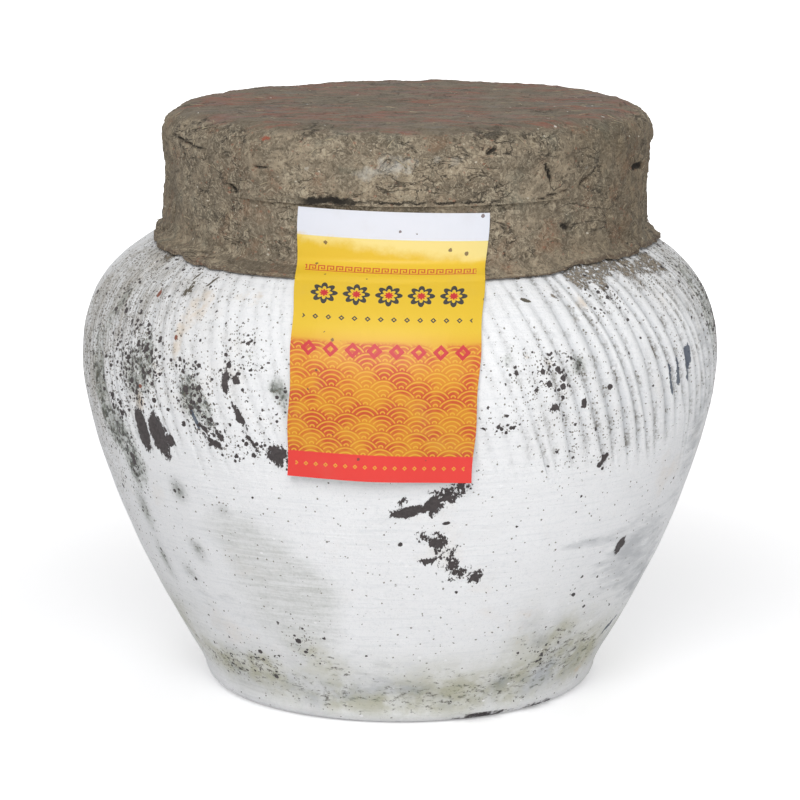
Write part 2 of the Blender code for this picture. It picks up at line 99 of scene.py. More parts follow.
# How strongly the comb cut, by azimuth in degrees
RIB_AZIMUTHS = (-180, -120, -80, -62, -45, -25, 8, 20, 30, 50, 90, 130, 180)
RIB_STRENGTH_SHARES = (0.75, 0.85, 0.8, 0.7, 0.42, 0.28, 0.22, 0.34, 0.75, 1.0, 1.0, 0.85, 0.75)

# Waves of the mud's edge and walls: how many round, start, turn up the wall, and share
MUD_FOOT_WAVE_SHARES = ((3, 2.0, 0, 0.5), (5, 0, 0, 0.3), (11, 1.6, 0, 0.2))
MUD_LUMP_WAVE_SHARES = ((3, 0.8, 2, 0.3), (7, -1.3, 5, 0.3), (11, 0.6, -6, 0.2), (15, 2.1, 8, 0.2))
MUD_FRAY_WAVE_SHARES = ((23, 1.0, 0, 0.4), (41, 2.0, 0, 0.35), (67, 0, 0, 0.25))
MUD_TOE_THIN_SHARE = 0.75
# How much rounder the upper edge is worn at the back left
WORN_SHARE = 0.45
WORN_AZIMUTH = math.radians(-150)
MUD_HOLLOW_SHARE = 0.35
# How far the fret and the rows of lozenges reach from the slip's middle line
FRET_REACH = 0.049
LOZENGE_REACH = 0.048
# Where the foot draws in at the left, and over what angle
TUCK_AZIMUTH = math.radians(-88)
TUCK_ANGLE = math.radians(15)
WINDOW_ANGLE = math.radians(31)
WINDOW_FADE = math.radians(14)


def length(name, description, default):
    """A size in metres that a user can change."""
    return FloatProperty(name=name, description=description, default=default, min=0, unit="LENGTH",
                         precision=4)


def colour(name, description, default):
    """A colour that a user can change."""
    return FloatVectorProperty(name=name, description=description, default=default, min=0, max=1,
                               subtype="COLOR")


class JarLook(bpy.types.PropertyGroup):
    """Sizes and colours of the jar."""
    belly_radius: length("Belly radius", "Widest radius of the jar", 0.1985)
    belly_height: length("Belly height", "Height of the widest place", 0.205)
    foot_radius: length("Foot radius", "Radius of the jar at its base", 0.1165)
    foot_edge: length("Foot edge", "Height of the rounded edge of the base", 0.011)
    shoulder_height: length("Shoulder height", "Where the shoulder meets the neck", 0.297)
    neck_radius: length("Neck radius", "Outer radius of the neck", 0.0765)
    neck_fillet: length("Neck fillet", "Rounding at the foot of the neck", 0.0035)
    mouth_radius: length("Mouth radius", "Inner radius of the mouth", 0.0615)
    lip_radius: length("Lip radius", "Outer radius of the rolled lip", 0.079)
    lip_height: length("Lip height", "Height of the rolled lip", 0.010)
    lip_round: length("Lip rounding", "Rounding of the lip", 0.004)
    wall: length("Wall", "Thickness of the wall", 0.009)
    floor: length("Floor", "Thickness of the floor", 0.012)
    ribs: IntProperty(name="Ribs", description="Combed ribs round the jar", default=120, min=24)
    rib_depth: length("Rib depth", "Depth of the comb's grooves", 0.0022)
    rib_foot: length("Rib foot", "Height at which the grooves end", 0.165)
    rib_fade: length("Rib fade", "Height over which the grooves run out", 0.020)
    rib_start: FloatProperty(name="Rib start", default=math.radians(1.7), unit="ROTATION",
                             description="Where a groove meets the neck")
    rib_lean: FloatProperty(name="Rib lean", default=math.radians(12.5), unit="ROTATION",
                            description="How far the ribs turn from the neck to their foot")
    limewash: colour("Limewash", "Colour of the brushed limewash", (0.885, 0.89, 0.90))
    ware: colour("Stoneware", "Colour of the bare fired clay", (0.038, 0.031, 0.031))
    grime: colour("Grime", "Colour of dirt in the grooves", (0.135, 0.118, 0.090))
    mould: colour("Mould", "Colour of the mould stains", (0.135, 0.150, 0.120))
    smear: colour("Smear", "Colour of the soft olive smears", (0.36, 0.37, 0.32))
    stroke: colour("Stroke", "Colour of the dark blue-grey strokes", (0.055, 0.075, 0.110))
    ochre: colour("Ochre", "Colour of rusty stains", (0.66, 0.50, 0.32))
    soil: colour("Soil", "Colour of the dirt round the foot", (0.43, 0.42, 0.30))
    # The thin wash colour also gives the painted shade in the comb's grooves.
    wash: colour("Thin wash", "Colour where the clay shows through thin limewash",
                 (0.62, 0.65, 0.68))


class MudLook(bpy.types.PropertyGroup):
    """Sizes and colours of the mud cap."""
    radius: length("Radius", "Radius of the cap's wall", 0.1503)
    waist: length("Waist", "How far the wall draws in at mid height", 0.0012)
    edge: length("Edge rounding", "Rounding of the upper edge", 0.020)
    lean: length("Lean", "How far the cap sits towards +X", 0.0034)
    lump: length("Lumps", "Height of the broad lumps in the wall", 0.0022)
    foot_radius: length("Foot radius", "Mean radius of the cap's foot", 0.1575)
    foot_ragged: length("Foot raggedness", "How far the foot's edge wanders", 0.0045)
    foot_fray: length("Foot fray", "Fine raggedness of the foot's edge", 0.0016)
    foot_thickness: length("Foot thickness", "Thickness of the foot's edge", 0.0035)
    foot_tuck: length("Foot tuck", "How far the foot draws in at the left", 0.0046)
    flare: length("Flare", "Height of the flare at the foot", 0.009)
    ledge: length("Ledge", "How far the mud overhangs the slip", 0.0030)
    rim_crack: length("Rim crack", "Depth of the broken line under the flat top", 0.0070)
    slip_drop: length("Slip drop", "Depth of the ledge under the flat top", 0.0468)
    wrap_gap: length("Gap", "Gap between the mud and what it covers", 0.0006)
    light: colour("Dry mud", "Colour of the light fibres", (0.50, 0.43, 0.315))
    mean: colour("Mud", "Mean colour of the mud", (0.250, 0.204, 0.143))
    # This dark mud colour also gives the painted shade in the cap's cracks, crevices and pores and
    # under the ledge.
    dark: colour("Damp mud", "Colour of the mud in its hollows", (0.080, 0.063, 0.042))
    brick: colour("Brick dust", "Reddish patches on the top", (0.235, 0.092, 0.062))
    slate: colour("Slate dust", "Blue-grey patches on the top", (0.180, 0.178, 0.178))
    chalk: colour("Lime dust", "Colour of lime rubbed on the mud", (0.58, 0.56, 0.50))
    straw: colour("Straw", "Colour of the chopped straw", (0.50, 0.42, 0.28))
    chaff: IntProperty(name="Straw bits", description="Bits of straw on the mud",
                       default=700, min=0)


class WrapLook(bpy.types.PropertyGroup):
    """Sizes and colours of the leaves, sheaths, saucer and tie."""
    bend: length("Bend", "Radius of the bend at the foot of the neck", 0.009)
    leaf_reach: length("Leaf reach", "Largest radius of the leaves", 0.098)
    leaf_notch: length("Leaf notch", "Depth of the lobes in a leaf's edge", 0.005)
    sheath_width: length("Sheath width", "Least reach of a sheath", 0.100)
    sheath_length: length("Sheath length", "Largest reach of a sheath", 0.112)
    ruffle: length("Ruffle", "Height of the ruffles at the hem", 0.0014)
    leaf_thickness: length("Leaf thickness", "Thickness of a leaf", 0.0008)
    sheath_thickness: length("Sheath thickness", "Thickness of a sheath", 0.0010)
    saucer_base: length("Saucer foot", "Radius of the saucer's foot", 0.028)
    saucer_wall: length("Saucer wall", "Thickness of the saucer", 0.004)
    saucer_bulge: length("Saucer bulge", "How far the saucer's side bulges", 0.0015)
    strip: length("Strip width", "Width of the bamboo strip", 0.0022)
    pitch: length("Pitch", "Climb of the strip in one turn", 0.0028)
    leaf: colour("Leaf", "Colour of the dried lotus leaf", (0.205, 0.165, 0.070))
    leaf_vein: colour("Leaf vein", "Colour of the leaf's veins", (0.36, 0.29, 0.14))
    husk: colour("Sheath", "Colour of the bamboo sheath", (0.45, 0.33, 0.16))
    husk_dark: colour("Sheath marks", "Colour of the sheath's dark marks", (0.12, 0.065, 0.03))
    clay: colour("Saucer clay", "Colour of the fired saucer", (0.30, 0.145, 0.085))
    bamboo: colour("Bamboo", "Colour of the split bamboo", (0.50, 0.38, 0.17))


class SlipLook(bpy.types.PropertyGroup):
    """Sizes and colours of the paper slip."""
    top_width: length("Top width", "Width at the upper edge", 0.1093)
    bottom_width: length("Bottom width", "Width at the lower edge", 0.1049)
    paper_length: length("Length", "Length of the paper", 0.166)
    thickness: length("Thickness", "Thickness of the pasted paper", 0.00035)
    margin: length("Margin", "Gap between the ledge and the paper", 0.0010)
    stand_off: length("Stand-off", "Gap between the paper and what backs it", 0.0011)
    centre_x: FloatProperty(name="Centre", description="Where the upper edge's middle lies",
                            default=-0.0034, unit="LENGTH", precision=4)
    lean: FloatProperty(name="Lean", description="How far the slip's sides lean",
                        default=math.radians(2.9), unit="ROTATION")
    tilt: FloatProperty(name="Tilt", description="How far its upper and lower edges tilt",
                        default=math.radians(1.6), unit="ROTATION")
    paper: colour("Paper", "Colour of the unprinted paper", (0.74, 0.76, 0.83))
    backing: colour("Back", "Colour of the unprinted back", (0.60, 0.55, 0.44))
    # The pale yellow is a painted reflection: glare on the glossy paper below its white top.
    pale: colour("Pale yellow", "Faded print near the top", (0.86, 0.70, 0.25))
    yellow: colour("Yellow", "Upper field", (0.76, 0.50, 0.022))
    orange: colour("Orange", "Middle field", (0.66, 0.235, 0.008))
    gold: colour("Gold", "Light lines in the print", (0.74, 0.42, 0.026))
    rust: colour("Rust", "Deep tone of the wave field", (0.56, 0.070, 0.012))
    red: colour("Red", "Lower band", (0.76, 0.040, 0.030))
    crimson: colour("Crimson", "Fret and lozenges", (0.55, 0.020, 0.025))
    ink: colour("Ink", "Dark ink", (0.030, 0.028, 0.026))


class StageLook(bpy.types.PropertyGroup):
    """Camera, lights and floor."""
    distance: length("Camera distance", "From the jar's axis to the camera", 2.025)
    elevation: FloatProperty(name="Camera elevation", description="Height angle of the camera",
                             default=math.radians(11.7), unit="ROTATION")
    sight: length("Sight height", "Height from which the camera is raised", 0.170)
    aim: length("Aim", "Height on the axis at which the camera looks", 0.1744)
    lens: FloatProperty(name="Lens", description="Focal length in mm", default=145.6)
    floor_size: length("Floor size", "Side of the square floor", 18)
    floor: colour("Floor", "Colour of the pale floor", (0.86, 0.86, 0.87))


def ease(value, low, high):
    """0 up to low, 1 from high on and smooth between, for numbers and arrays."""
    share = np.clip((value - low) / (high - low), 0, 1)
    return share * share * (3 - 2 * share)


def arc(centre, reach, start, end, steps):
    """Points on an ellipse round centre, with degrees counted up from level."""
    turns = np.radians(np.linspace(start, end, steps))
    return [(centre[0] + reach[0] * math.cos(t), centre[1] + reach[1] * math.sin(t)) for t in turns]


def refined(rows, spacing):
    """How many steps each stretch of a section takes, to be no longer than spacing."""
    ends = np.array(rows)
    spans = np.hypot(*(ends[1:] - ends[:-1]).T)
    return np.maximum(1, np.ceil(spans / spacing)).astype(int)


def subdivided(rows, counts):
    """A section with each stretch cut into its own number of steps."""
    points = [rows[0]]
    for start, end, count in zip(rows, rows[1:], counts):
        for step in range(1, count + 1):
            share = step / count
            points.append((start[0] + (end[0] - start[0]) * share,
                           start[1] + (end[1] - start[1]) * share))
    return points


def deselect():
    """Leave edit mode and select nothing."""
    if bpy.context.mode != "OBJECT":
        bpy.ops.object.mode_set(mode="OBJECT")
    bpy.ops.object.select_all(action="DESELECT")


def pick(piece):
    """Make one piece the active and only selected one."""
    deselect()
    piece.select_set(True)
    bpy.context.view_layer.objects.active = piece


def name_piece(name):
    """Name the new active object and its mesh."""
    piece = bpy.context.object
    piece.name = name
    piece.data.name = name
    return piece


def places_of(piece):
    """The points of a piece as rows of x, y and z."""
    flat = np.empty(3 * len(piece.data.vertices))
    piece.data.vertices.foreach_get("co", flat)
    return flat.reshape(-1, 3)


def move_to(piece, places):
    """Put the points of a piece at new places."""
    piece.data.vertices.foreach_set("co", np.ascontiguousarray(places, dtype=float).ravel())
    piece.data.update()


def round_axis(piece):
    """The points of a piece as radius, angle and height round the Z axis."""
    x, y, height = places_of(piece).T
    return np.hypot(x, y), np.arctan2(y, x), height


def move_round(piece, radius, angle, height):
    """Put the points of a piece at radii, angles and heights round the Z axis."""
    move_to(piece, np.stack((radius * np.cos(angle), radius * np.sin(angle), height), 1))


def turned(name, rows, steps):
    """Spin a section round the Z axis, and tell each point's row and its step round."""
    deselect()
    bpy.context.tool_settings.mesh_select_mode = (True, False, False)
    bpy.ops.mesh.primitive_plane_add(size=JAR_HIGH.x, enter_editmode=True)
    piece = name_piece(name)
    bpy.ops.mesh.merge(type="CENTER")
    bpy.ops.transform.translate(value=(rows[0][0], 0, rows[0][1]))
    for (radius, height), (next_radius, next_height) in zip(rows, rows[1:]):
        step = (next_radius - radius, 0, next_height - height)
        bpy.ops.mesh.extrude_region_move(TRANSFORM_OT_translate={"value": step})
    bpy.ops.mesh.select_all(action="SELECT")
    bpy.ops.mesh.spin(steps=steps, angle=TURN, center=(0, 0, 0), axis=(0, 0, 1),
                      use_auto_merge=True)
    bpy.ops.mesh.select_all(action="SELECT")
    bpy.ops.mesh.remove_doubles(threshold=MERGE)
    bpy.ops.mesh.normals_make_consistent(inside=False)
    bpy.ops.object.mode_set(mode="OBJECT")
    radius, angle, height = round_axis(piece)
    flat = np.stack((radius, height), 1).astype(np.float32)
    row = np.array([np.abs(flat - point).sum(1) for point in np.float32(rows)]).argmin(0)
    return piece, row, np.rint(angle / TURN * steps).astype(int) % steps


def shaped(piece, section, row, step, steps):
    """Give each point of a spun piece its place in the section at its own angle."""
    sections = np.array([section(TURN * turn / steps) for turn in range(steps)])
    radius, height = sections[step, row].T
    move_round(piece, radius, TURN * step / steps, height)


def modify(piece, kind, **settings):
    """Give a piece a modifier with its settings, and apply it."""
    pick(piece)
    change = piece.modifiers.new(kind, kind)
    for name, setting in settings.items():
        setattr(change, name, setting)
    bpy.ops.object.modifier_apply(modifier=change.name)


def displace(piece, texture, strength, middle=0.5, group=""):
    """Push the surface in and out by a texture, and apply it."""
    modify(piece, "DISPLACE", texture=texture, texture_coords="LOCAL", strength=strength,
           mid_level=middle, vertex_group=group)


def clouds(name, size, depth=2, hard=False):
    """A cloudy texture for displacement."""
    texture = bpy.data.textures.new(name, "CLOUDS")
    texture.noise_scale = size
    texture.noise_depth = depth
    texture.noise_type = "HARD_NOISE" if hard else "SOFT_NOISE"
    return texture


def weigh(piece, name, weights):
    """A vertex group with a weight for each point."""
    group = piece.vertex_groups.new(name=name)
    levels = np.round(weights, 2)
    for level in np.unique(levels):
        if level > 0:
            group.add(np.flatnonzero(levels == level).tolist(), float(level), "REPLACE")
    return group.name


def note(piece, name, values):
    """A named value on each point, for the piece's material to read."""
    held = piece.data.attributes.new(name, "FLOAT", "POINT")
    held.data.foreach_set("value", np.ascontiguousarray(values, dtype=np.float32))


def map_wall(piece, radius):
    """A UV map of a turned wall in metres: the way round at radius, and the height."""
    places = places_of(piece)
    azimuth = np.arctan2(places[:, 0], -places[:, 1])
    corners = np.empty(len(piece.data.loops), int)
    piece.data.loops.foreach_get("vertex_index", corners)
    starts = np.empty(len(piece.data.polygons), int)
    piece.data.polygons.foreach_get("loop_start", starts)
    totals = np.empty(len(piece.data.polygons), int)
    piece.data.polygons.foreach_get("loop_total", totals)
    first = np.repeat(azimuth[corners[starts]], totals)
    turns = first + (azimuth[corners] - first + math.pi) % TURN - math.pi
    layer = piece.data.uv_layers.new(name="wall")
    wall = np.stack((turns * radius, places[corners, 2]), 1)
    layer.uv.foreach_set("vector", wall.astype(np.float32).ravel())


def settle(piece, body, slot, nodes=()):
    """Shade a finished piece, hang it on its body, and hide the parts that it stands for."""
    pick(piece)
    bpy.ops.object.shade_smooth_by_angle(angle=SMOOTH_ANGLE)
    deselect()
    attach(piece, body)
    if nodes:
        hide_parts(*nodes)


class Value:
    """A number, place or colour in a drawing, which takes part in sums."""

    def __init__(self, draw, socket):
        self.draw, self.socket = draw, socket

    def __add__(self, other):
        return self.draw.sum("ADD", self, other)

    def __sub__(self, other):
        return self.draw.sum("SUBTRACT", self, other)

    def __rsub__(self, other):
        return self.draw.sum("SUBTRACT", other, self)

    def __mul__(self, other):
        return self.draw.sum("MULTIPLY", self, other)

    def __truediv__(self, other):
        return self.draw.sum("DIVIDE", self, other)

    def __rtruediv__(self, other):
        return self.draw.sum("DIVIDE", other, self)

    def __pow__(self, other):
        return self.draw.sum("POWER", self, other)

    def __lt__(self, other):
        return self.draw.sum("LESS_THAN", self, other)

    def __gt__(self, other):
        return self.draw.sum("GREATER_THAN", self, other)

    def __abs__(self):
        return self.draw.sum("ABSOLUTE", self)


class Drawing:
    """Adds linked nodes to one node tree."""

    def __init__(self, tree):
        self.tree = tree

    def feed(self, socket, value):
        """Link a value to an input, or set the input to plain numbers."""
        if isinstance(value, Value):
            self.tree.links.new(value.socket, socket)
        else:
            socket.default_value = value

    def add(self, kind, values, out=0, **settings):
        """Add a node, set it up, feed its inputs and give back one of its outputs."""
        node = self.tree.nodes.new(kind)
        for name, setting in settings.items():
            setattr(node, name, setting)
        for key, value in values.items():
            self.feed(node.inputs[key], value)
        return self.last(out)

    def last(self, out):
        """An output of the node that was added last."""
        return Value(self, self.tree.nodes[-1].outputs[out])

    def sum(self, operation, *values, clamp=False):
        """A Math node."""
        return self.add("ShaderNodeMath", dict(enumerate(values)), operation=operation,
                        use_clamp=clamp)

    def most(self, first, *others):
        """The greatest of several values."""
        for other in others:
            first = self.sum("MAXIMUM", first, other)
        return first

    def away(self, x, y):
        """How far two numbers lie from the middle."""
        return self.sum("SQRT", x * x + y * y)

    def vector(self, operation, *values, out=0, **named):
        """A Vector Math node."""
        return self.add("ShaderNodeVectorMath", {**dict(enumerate(values)), **named}, out=out,
                        operation=operation)

    def mix(self, share, first, second, blend="MIX"):
        """A Mix node for colours, which may be given as three numbers."""
        first, second = (tone if isinstance(tone, Value) else (*tone[:3], 1)
                         for tone in (first, second))
        return self.add("ShaderNodeMix", {0: share, 6: first, 7: second}, out=2, data_type="RGBA",
                        blend_type=blend)

    def coats(self, base, *coats):
        """Lay coats over a colour one after another, each with its share and its colour."""
        for share, tone in coats:
            base = self.mix(share, base, tone)
        return base

    def bumps(self, *layers):
        """Bumps over one another, each with its height, its depth in metres and its strength."""
        values = {}
        for height, depth, strength in layers:
            values.update(Height=height, Distance=depth, Strength=strength)
            values["Normal"] = self.add("ShaderNodeBump", values)
        return values["Normal"]

    def noise(self, place, scale, detail=3, rough=0.5, bend=0):
        """A noise value from 0 to 1, at one scale or at one for each axis."""
        if isinstance(scale, tuple):
            place, scale = self.stretch(place, scale), 1
        return self.add("ShaderNodeTexNoise", {"Vector": place, "Scale": scale, "Detail": detail,
                                               "Roughness": rough, "Distortion": bend})

    def step(self, value, low, high, top=1.0, bottom=0.0):
        """Bottom up to low, top from high on, and smooth between."""
        values = {"Value": value, "From Min": low, "From Max": high, "To Min": bottom,
                  "To Max": top}
        return self.add("ShaderNodeMapRange", values, interpolation_type="SMOOTHSTEP")

    def stretch(self, place, scale=(1, 1, 1), shift=(0, 0, 0), turn=(0, 0, 0)):
        """A place moved, turned and stretched."""
        return self.add("ShaderNodeMapping", {"Vector": place, "Location": shift, "Rotation": turn,
                                              "Scale": scale})

    def noted(self, name):
        """A value noted on the piece's points."""
        return self.add("ShaderNodeAttribute", {}, out="Fac", attribute_name=name)

    def place(self):
        """The place on the object, in metres."""
        return self.add("ShaderNodeTexCoord", {}, out="Object")

    def mapped(self, name):
        """The place on a piece's own UV map."""
        return self.add("ShaderNodeUVMap", {}, uv_map=name)

    def axes(self, place):
        """The three numbers of a place."""
        self.add("ShaderNodeSeparateXYZ", {0: place})
        return [self.last(axis) for axis in range(3)]

    def effect(self, name, **values):
        """A shared effect with its own values."""
        return self.add("ShaderNodeGroup", values, node_tree=bpy.data.node_groups[name])


class Finish(Drawing):
    """The drawing of a material, with its surface shader."""

    def __init__(self, name, rough):
        self.material = bpy.data.materials.new(name)
        self.material.use_nodes = True
        super().__init__(self.material.node_tree)
        self.shader = self.tree.nodes["Principled BSDF"]
        self.shader.inputs["Roughness"].default_value = rough

    def done(self, **values):
        """Feed the shader, with underscores for spaces in its inputs, and give the material."""
        for key, value in values.items():
            self.feed(self.shader.inputs[key.replace("_", " ")], value)
        return self.material


def effect_group(name, **inputs):
    """A new shared effect: its drawing, its inputs by name, and a way to end it."""
    tree = bpy.data.node_groups.new(name, "ShaderNodeTree")
    for label, kind in inputs.items():
        tree.interface.new_socket(label, in_out="INPUT", socket_type="NodeSocket" + kind)
    tree.interface.new_socket("Value", in_out="OUTPUT", socket_type="NodeSocketFloat")
    entry = tree.nodes.new("NodeGroupInput")
    exit_node = tree.nodes.new("NodeGroupOutput")
    draw = Drawing(tree)

    def end(value):
        draw.feed(exit_node.inputs[0], value)
    return draw, {label: Value(draw, entry.outputs[label]) for label in inputs}, end


def wobbled(draw, place, scale, reach):
    """A place pushed about by noise."""
    wobble = draw.add("ShaderNodeTexNoise", {"Vector": place, "Scale": scale}, out=1)
    push = draw.vector("SCALE", draw.vector("SUBTRACT", wobble, (0.5, 0.5, 0.5)), Scale=reach)
    return draw.vector("ADD", place, push)


def speckle_effect():
    """Scattered round specks of many sizes. Amount is the share of places that hold one."""
    draw, entry, end = effect_group("Speckle", Place="Vector", Scale="Float", Size="Float",
                                    Amount="Float")
    place = wobbled(draw, entry["Place"], 900.0, 0.0012)
    near = draw.add("ShaderNodeTexVoronoi", {"Vector": place, "Scale": entry["Scale"]})
    chance = draw.add("ShaderNodeSeparateColor", {0: draw.last("Color")})
    size = entry["Size"] * (draw.last(1) * 0.75 + 0.25)
    end((near < size) * (chance < entry["Amount"]))


def flake_effect():
    """One ragged patch at a place on the wall, stretched and leaning."""
    draw, entry, end = effect_group("Flake", Wall="Vector", Centre="Vector", Reach="Vector",
                                    Lean="Float", Edge="Float", Ragged="Float")
    away = draw.vector("SUBTRACT", entry["Wall"], entry["Centre"])
    turned_away = draw.add("ShaderNodeVectorRotate", {"Vector": away, "Angle": entry["Lean"]},
                           rotation_type="Z_AXIS", invert=True)
    far = draw.vector("LENGTH", draw.vector("DIVIDE", turned_away, entry["Reach"]), out=1)
    end(draw.step(entry["Edge"] * entry["Ragged"] + far, 0.94, 1.06, 0.0, 1.0))


def fibre_effect():
    """Short matted fibres: each clump's fibres lie their own way, a little curved."""
    draw, entry, end = effect_group("Fibres", Place="Vector", Clumps="Float", Fineness="Float",
                                    Length="Float")
    place = wobbled(draw, entry["Place"], 160.0, 0.012)
    draw.add("ShaderNodeTexVoronoi", {"Vector": place, "Scale": entry["Clumps"]})
    clump, centre = draw.last("Color"), draw.last("Position")
    away = draw.vector("SUBTRACT", place, centre)
    swing = draw.vector("SCALE", clump, Scale=TURN)
    lying = draw.add("ShaderNodeVectorRotate", {"Vector": away, "Rotation": swing},
                     rotation_type="EULER_XYZ")
    spread = draw.add("ShaderNodeCombineXYZ", {0: 1.0 / entry["Length"], 1: 1.0, 2: 1.0})
    stretched = draw.vector("MULTIPLY", draw.vector("ADD", lying, clump), spread)
    end(draw.noise(stretched, entry["Fineness"], 3, 0.60, 0.5))


def cloud_effect():
    """Cloudy patches with a soft edge: noise pushed past a threshold by a chosen amount."""
    draw, entry, end = effect_group("Cloud", Place="Vector", Scale="Float", Amount="Float",
                                    Softness="Float")
    level = draw.noise(entry["Place"], entry["Scale"], 5, 0.62) - 1.0 + entry["Amount"]
    end(draw.sum("DIVIDE", level, entry["Softness"], clamp=True))


def lower_radius(look, height):
    """Outer radius of the jar from its base to its belly."""
    share = 1 - np.minimum(height / look.belly_height, 1)
    return look.belly_radius - (look.belly_radius - look.foot_radius) * share ** LOWER_POWER


def shoulder_radius(look):
    """Radius at which the shoulder turns up into the neck."""
    return look.neck_radius + look.neck_fillet


def jar_radius(look, height):
    """Outer radius of the jar at a height, up to the end of the shoulder."""
    rise = look.shoulder_height - look.belly_height
    share = np.clip((height - look.belly_height) / rise, 0, 1)
    top = shoulder_radius(look)
    upper = top + (look.belly_radius - top) * np.sqrt(1 - share ** UPPER_POWER)
    return np.where(height < look.belly_height, lower_radius(look, height), upper)


def shoulder_at(look, radius):
    """Height of the jar's outer surface above the belly at a radius."""
    top = shoulder_radius(look)
    share = np.clip((radius - top) / (look.belly_radius - top), 0, 1)
    rise = look.shoulder_height - look.belly_height
    return look.belly_height + rise * (1 - share ** 2) ** (1 / UPPER_POWER)


def over_belly(look, end_radius, belly_radius, rise, steps):
    """Rows from the belly up over a shoulder that ends level at end_radius."""
    turns = np.linspace(0, math.pi / 2, steps)[1:]
    return [(end_radius + (belly_radius - end_radius) * math.cos(turn),
             look.belly_height + rise * math.sin(turn) ** (2 / UPPER_POWER)) for turn in turns]


def jar_outside(look):
    """Rows from under the base up the outside of the jar to the lip."""
    edge = look.foot_edge
    rim = float(lower_radius(look, edge))
    rows = [(0, 0), (look.foot_radius / 2, 0), (rim - edge, 0)]
    rows += arc((rim - edge, edge), (edge, edge), -75, -15, 5)
    comb_low = look.rib_foot - 0.25 * look.rib_foot
    heights = [*np.linspace(edge, comb_low, 18), *np.linspace(comb_low, look.belly_height, 26)[1:]]
    rows += [(float(lower_radius(look, height)), height) for height in heights]
    rise = look.shoulder_height - look.belly_height
    rows += over_belly(look, shoulder_radius(look), look.belly_radius, rise, 37)
    fillet = look.neck_fillet
    centre = (shoulder_radius(look), look.shoulder_height + fillet)
    return rows + arc(centre, (-fillet, -fillet), 60, 0, 3)


def jar_section(look):
    """The whole wall: outside, lip, inside and floor, and how many rows lie outside."""
    rows = jar_outside(look)
    outside = len(rows)
    top, lip = JAR_HIGH.z, look.lip_round
    flare = look.lip_radius - look.neck_radius
    rows += [(look.neck_radius, top - look.lip_height),
             (look.lip_radius, top - look.lip_height + flare)]
    rows += arc((look.lip_radius - lip, top - lip), (lip, lip), 0, 90, 5)
    rows += arc((look.mouth_radius + lip, top - lip), (-lip, lip), 90, 0, 5)
    rise = look.shoulder_height - look.belly_height - look.wall
    inner = over_belly(look, look.mouth_radius, look.belly_radius - look.wall, rise, 9)
    rows += inner[::-1]
    low = look.floor + look.foot_edge
    rows += [(float(lower_radius(look, height)) - look.wall, height)
             for height in np.linspace(look.belly_height, low, 9)]
    rows += [(look.foot_radius - look.wall - look.foot_edge, look.floor), (0, look.floor)]
    return rows, outside


def azimuth_of(angle):
    """Azimuth from the front in degrees, from -180 to 180, of an angle round Z."""
    return (np.degrees(angle - FRONT) + 180) % 360 - 180


def comb(piece, look, row, step, outside):
    """Slant the mesh lines, and cut the comb's grooves into the outside."""
    draws = np.random.default_rng(SEED)
    rib, part = np.divmod(step, len(RIB_LINE_SHARES))
    radius, _, height = round_axis(piece)
    around = TURN * (rib + np.array(RIB_LINE_SHARES)[part]) / look.ribs
    wander = 0.13 * np.sin(17 * around + 1) + 0.11 * np.sin(31 * around + 40 * height)
    drawn = (look.shoulder_height - height) / (look.shoulder_height - look.rib_foot)
    around += look.rib_start + look.rib_lean * drawn + TURN / look.ribs * wander
    azimuth = azimuth_of(around)
    foot = look.rib_foot + look.rib_fade * 0.35 * draws.standard_normal(look.ribs)
    weight = 0.75 + 0.5 * draws.random(look.ribs)
    strength = np.interp(azimuth, RIB_AZIMUTHS, RIB_STRENGTH_SHARES) * weight[rib]
    fade = ease(height, foot[rib], foot[rib] + look.rib_fade)
    fade *= 1 - ease(height, look.shoulder_height - 0.012, look.shoulder_height - 0.003)
    cut = np.array(RIB_CUT_SHARES)[part] * fade * strength * (row < outside)
    move_round(piece, radius - look.rib_depth * cut, around, height)
    return cut, azimuth, height


